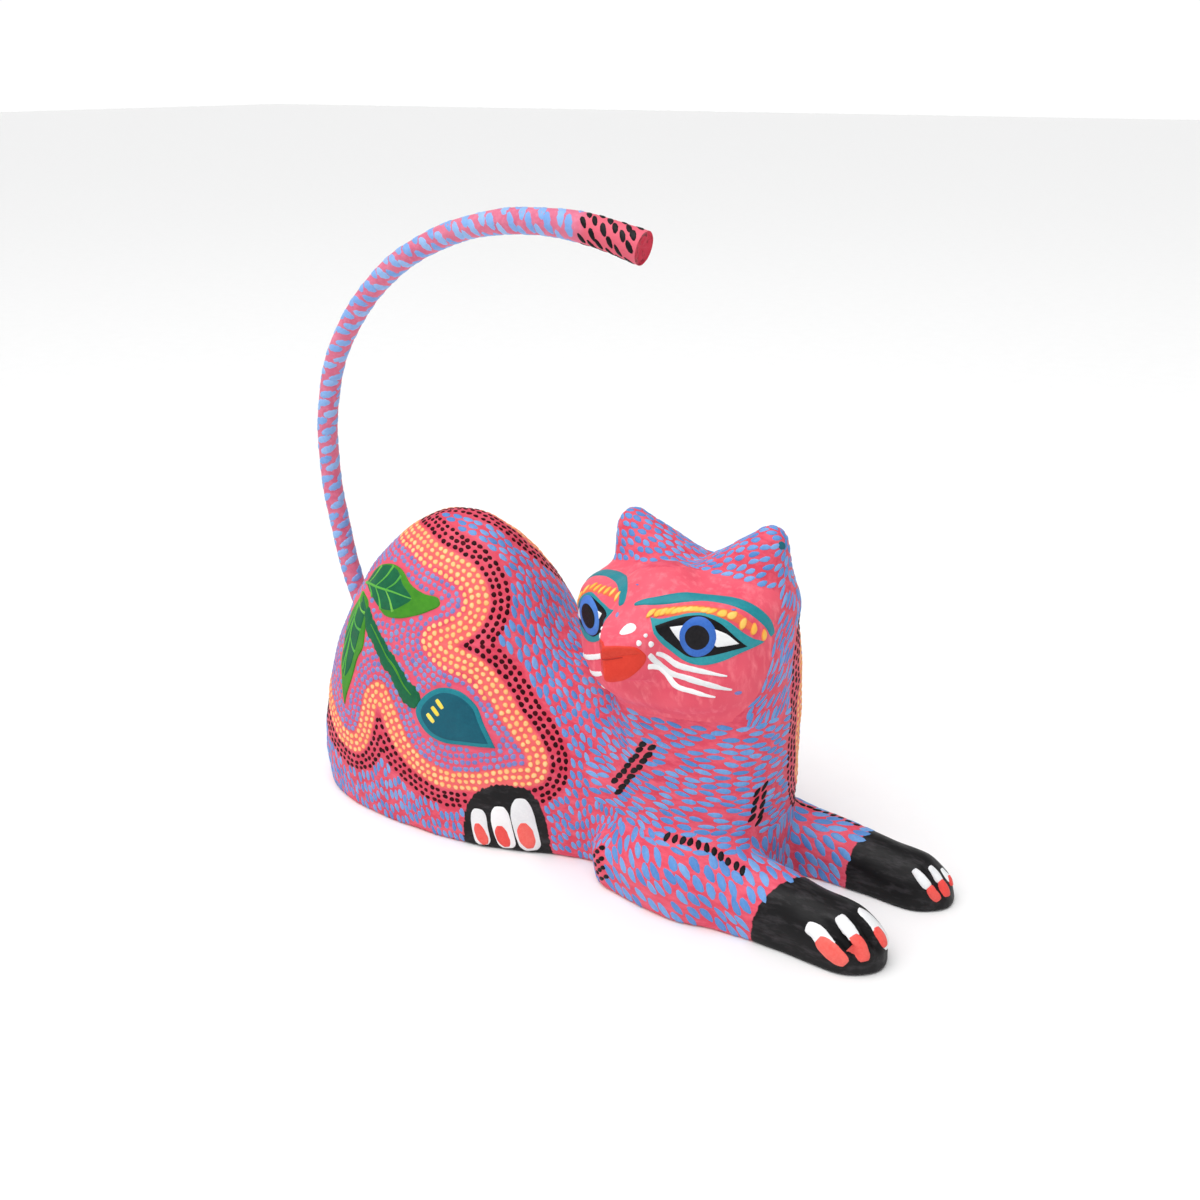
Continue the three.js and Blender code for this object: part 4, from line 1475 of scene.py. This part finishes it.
def tail_at(s):
    """Centre, direction and radius at lengths s along the tail."""
    s = np.clip(s, 0, TAIL_LENGTH)
    step = 0.8
    ahead = along_line(np.minimum(s + step, TAIL_LENGTH), tail_run, tail_line)
    behind = along_line(np.maximum(s - step, 0), tail_run, tail_line)
    radius = np.interp(s / TAIL_LENGTH, np.linspace(0, 1, len(TAIL_RADII)), TAIL_RADII) * TAIL_SHARE
    return along_line(s, tail_run, tail_line), unit(ahead - behind), radius


def whittled(s, turn):
    """How the knife leaves the stick: flats along it and a slow waviness."""
    flats = 0.05 * np.cos(7 * turn + 0.6 * np.sin(s * 0.05)) * np.cos(s * 0.021)
    return flats + 0.06 * np.sin(s * 0.31 + 2 * np.cos(turn)) * np.minimum(s / 30, 1)


def on_tail(s, turn, lift):
    centre, along, radius = tail_at(s)
    outward = np.cross(np.array((0, 1.0, 0)), along)
    way = np.array((0, 1.0, 0)) * np.cos(turn)[:, None] + outward * np.sin(turn)[:, None]
    return centre + way * (radius + whittled(s, turn) + lift)[:, None]


# Rings of each end cap, from the edge inwards, as shares of the stick's radius.
CAP_RINGS = (0.86, 0.62, 0.34)
sides = 32
rows = 300
s = np.linspace(0, TAIL_LENGTH, rows)
turn = np.arange(sides) * 2 * math.pi / sides
i = np.arange(sides)
j = (i + 1) % sides
ss, tt = np.repeat(s, sides), np.tile(turn, rows)
tube = on_tail(ss, tt, np.zeros(len(ss)))
end_centre, end_along, _ = tail_at(np.array((0.0, TAIL_LENGTH)))
caps = []
cap_faces = []
base = len(tube)
for which, first, sign in ((0, 0, -1), (1, (rows - 1) * sides, 1)):
    rim_points = tube[first:first + sides]
    ring_start = first
    for share in CAP_RINGS:
        ring_points = end_centre[which] + (rim_points - end_centre[which]) * share
        rough = 0.25 * np.sin(turn * 3 + share * 9) + 0.18 * np.sin(turn * 5 + share * 4)
        dent = -0.3 - 0.5 * (1 - share) if which else -0.1
        ring_points = ring_points + end_along[which] * sign * (dent + rough * (share < 0.9) * which)[:, None]
        caps.append(ring_points)
        a, b = ring_start, base + sum(len(c) for c in caps[:-1])
        quad = np.stack((a + i, a + j, b + j, b + i), 1)
        cap_faces.append(quad if sign < 0 else quad[:, ::-1])
        ring_start = b
    caps.append(end_centre[which][None] + end_along[which] * sign * (-0.7 * which))
    tip = base + sum(len(c) for c in caps[:-1])
    fan = np.stack((ring_start + i, ring_start + j, np.full(sides, tip)), 1)
    cap_faces.append(fan if sign < 0 else fan[:, ::-1])
tube_faces = np.concatenate([
    np.stack((r * sides + i, (r + 1) * sides + i, (r + 1) * sides + j, r * sides + j), 1)
    for r in range(rows - 1)
])
tail_vertices = np.concatenate([tube] + caps)
normal_test = np.cross(tube[sides] - tube[0], tube[1] - tube[0])
out_test = tube[0] - end_centre[0]
if normal_test @ out_test > 0:
    tube_faces = tube_faces[:, ::-1]
cap_size = sides * len(CAP_RINGS) + 1
tail_s = np.concatenate((ss, np.full(cap_size, 0.0), np.full(cap_size, TAIL_LENGTH)))
cut_end = np.concatenate((np.zeros(len(ss)), np.zeros(cap_size), np.ones(cap_size)))


def tail_ground():
    n = Nodes("tail_pink_ground")
    broad = n.noise(60, 3.0, 0.6)
    brush = n.noise(520, 4.0, 0.62)
    pink = n.mix(n.span(broad, 0.3, 0.7), rgb(210, 100, 134), rgb(224, 122, 148))
    pink = n.mix(n.span(brush, 0.45, 0.75), pink, rgb(230, 136, 162))
    tip = n.span(n.field("run"), TAIL_LENGTH - TAIL_TIP, TAIL_LENGTH - 14)
    pink = n.mix(tip, pink, rgb(228, 100, 120))
    wood = n.span(n.field("run"), *TAIL_BARE, 1, 0)
    pink = n.mix(wood, pink, rgb(206, 164, 116))
    end = n.span(n.field("cut"), 0.02, 0.3)
    pink = n.mix(end, pink, n.mix(n.span(brush, 0.36, 0.5), rgb(110, 20, 34), rgb(206, 52, 76)))
    normal = n.bump(brush, 0.4, 0.0003, n.bump(broad, 0.2, 0.001))
    return n.finish(pink, n.span(brush, 0.3, 0.7, 0.42, 0.62), normal)


tail_piece = new_piece(
    "tail_stick", tail_vertices, [tube_faces] + cap_faces, tail_ground(), "tail",
    {"run": tail_s, "cut": cut_end},
)
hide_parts("tail")


def add_tail_dabs(film, s0, turn0, across, long, lean, height=0.15, sides=10):
    """Dabs that lie across the tail: across is their length round it and long their width along it."""
    n = len(s0)
    angle = np.arange(sides) * 2 * math.pi / sides
    wobble = 1 + 0.08 * np.sin(2 * angle + rng.uniform(0, 6, (n, 1)))
    wobble = wobble + 0.06 * np.sin(3 * angle + rng.uniform(0, 6, (n, 1)))
    u = np.cos(angle) * across[:, None] / 2 * wobble
    v = np.sin(angle) * long[:, None] / 2 * wobble
    v = v + u * lean
    radius = tail_at(s0)[2]
    parts_s = [s0[:, None]] + [s0[:, None] + r * v for r, _ in DAB_RINGS]
    parts_t = [turn0[:, None]] + [turn0[:, None] + r * u / radius[:, None] for r, _ in DAB_RINGS]
    s_all = np.concatenate(parts_s, 1).ravel()
    t_all = np.concatenate(parts_t, 1).ravel()
    flat = on_tail(s_all, t_all, 0)
    add_rings(film, flat, on_tail(s_all, t_all, 1) - flat, n, sides, height)


# Dabs in one row round the tail, and the rows' pitch along it.
ROUND, BLUE_PITCH = 3, 2.85
BLACK_ROUND, BLACK_PITCH = 7, 2.6
tail_blue, tail_black = Film(), Film()
s0, turn0 = [], []
place, row = TAIL_FIRST_BLUE, 0
while place < TAIL_LENGTH - TAIL_TIP:
    start = (row % 2) * math.pi / ROUND + rng.normal(0, 0.2)
    for k in range(ROUND):
        s0.append(place + rng.normal(0, 0.25))
        turn0.append(start + k * 2 * math.pi / ROUND + rng.normal(0, 0.1))
    place += BLUE_PITCH + rng.normal(0, 0.06)
    row += 1
s0, turn0 = np.array(s0), np.array(turn0)
reach_round = tail_at(s0)[2] * 2 * math.pi / ROUND
add_tail_dabs(tail_blue, s0, turn0, reach_round * rng.uniform(0.88, 1.0, len(s0)),
                rng.uniform(2.4, 2.7, len(s0)), lean=-0.28)
s0, turn0 = [], []
place, row = TAIL_FIRST_BLACK, 0
while place < TAIL_LAST_BLACK:
    for k in range(BLACK_ROUND):
        s0.append(place + rng.normal(0, 0.2))
        turn0.append((k + 0.5 * (row % 2)) * math.pi / (BLACK_ROUND / 2) + rng.normal(0, 0.07))
    place += BLACK_PITCH
    row += 1
s0, turn0 = np.array(s0), np.array(turn0)
across, long = rng.uniform(2.7, 3.3, len(s0)), rng.uniform(1.7, 2.1, len(s0))
add_tail_dabs(tail_black, s0, turn0, across, long, lean=-0.6)
tail_blue.piece("tail_blue_dabs", TAIL_BLUE, "tail", "painted_tail")
tail_black.piece("tail_black_dabs", BLACK, "tail", "painted_tail")

# ---------------------------------------------------------------- floor, light and camera

FLOOR_REACH, FLOOR_DROP = 6, 0.00005
floor = bpy.data.meshes.new("floor")
floor.from_pydata(
    [(FLOOR_REACH * x, FLOOR_REACH * y, -FLOOR_DROP) for x, y in ((-1, -1), (1, -1), (1, 1), (-1, 1))],
    [], [(0, 1, 2, 3)],
)
floor_piece = bpy.data.objects.new("floor", floor)
bpy.context.scene.collection.objects.link(floor_piece)
paper = Nodes("studio_paper")
paper_grain = paper.noise(90, 2.0)
floor.materials.append(paper.finish(
    paper.mix(paper_grain, (0.9, 0.9, 0.9, 1), (0.93, 0.93, 0.93, 1)), 0.9,
    paper.bump(paper_grain, 0.05, 0.0002), 0.1))

# The backdrop is white at the horizon and fades upwards to the sky's own strength.
HORIZON, SKY = 1.02, 0.34
FADE = (0.06, 0.3)
world = bpy.data.worlds.new("studio")
bpy.context.scene.world = world
world.use_nodes = True
sky = world.node_tree
height = sky.nodes.new("ShaderNodeSeparateXYZ")
sky.links.new(sky.nodes.new("ShaderNodeTexCoord").outputs["Generated"], height.inputs[0])
fade = sky.nodes.new("ShaderNodeMapRange")
fade.interpolation_type = "SMOOTHSTEP"
for key, number in zip(("From Min", "From Max", "To Min", "To Max"), (*FADE, HORIZON, SKY)):
    fade.inputs[key].default_value = number
sky.links.new(height.outputs["Z"], fade.inputs["Value"])
sky.links.new(fade.outputs["Result"], sky.nodes["Background"].inputs["Strength"])
sky.nodes["Background"].inputs["Color"].default_value = (1, 1, 1, 1)


def put_in_scene(name, data, at=(0, 0, 0), aim=None):
    item = bpy.data.objects.new(name, data)
    item.location = at
    if aim is not None:
        item.rotation_mode = "QUATERNION"
        item.rotation_quaternion = (Vector(aim) - Vector(at)).to_track_quat("-Z", "Y")
    bpy.context.scene.collection.objects.link(item)
    return item


softbox = bpy.data.lights.new("top_softbox", "AREA")
softbox.shape = "DISK"
softbox.size = 0.9
softbox.energy = 3.6
put_in_scene("top_softbox", softbox, (0.05, -0.25, 1.15), (0, 0, 0.05))
sun_data = bpy.data.lights.new("overhead_light", "SUN")
sun_data.energy = 2.1
sun_data.angle = math.radians(70)
sun = put_in_scene("overhead_light", sun_data)
sun.rotation_euler = (math.radians(18), math.radians(-12), 0)

camera_data = bpy.data.cameras.new("camera")
camera_data.lens = 37.44
camera_data.sensor_width = 36
camera_data.clip_start = 0.01
camera_data.clip_end = 20
AZIMUTH, ELEVATION, DISTANCE = math.radians(31), math.radians(23), 0.320
AIM = Vector((-0.0006, -0.007, 0.072))
level = math.cos(ELEVATION)
back = Vector((math.sin(AZIMUTH) * level, -math.cos(AZIMUTH) * level, math.sin(ELEVATION)))
camera = put_in_scene("camera", camera_data, AIM + back * DISTANCE, AIM)
bpy.context.scene.camera = camera
bpy.context.scene.view_settings.view_transform = "Standard"
bpy.context.scene.view_settings.look = "None"
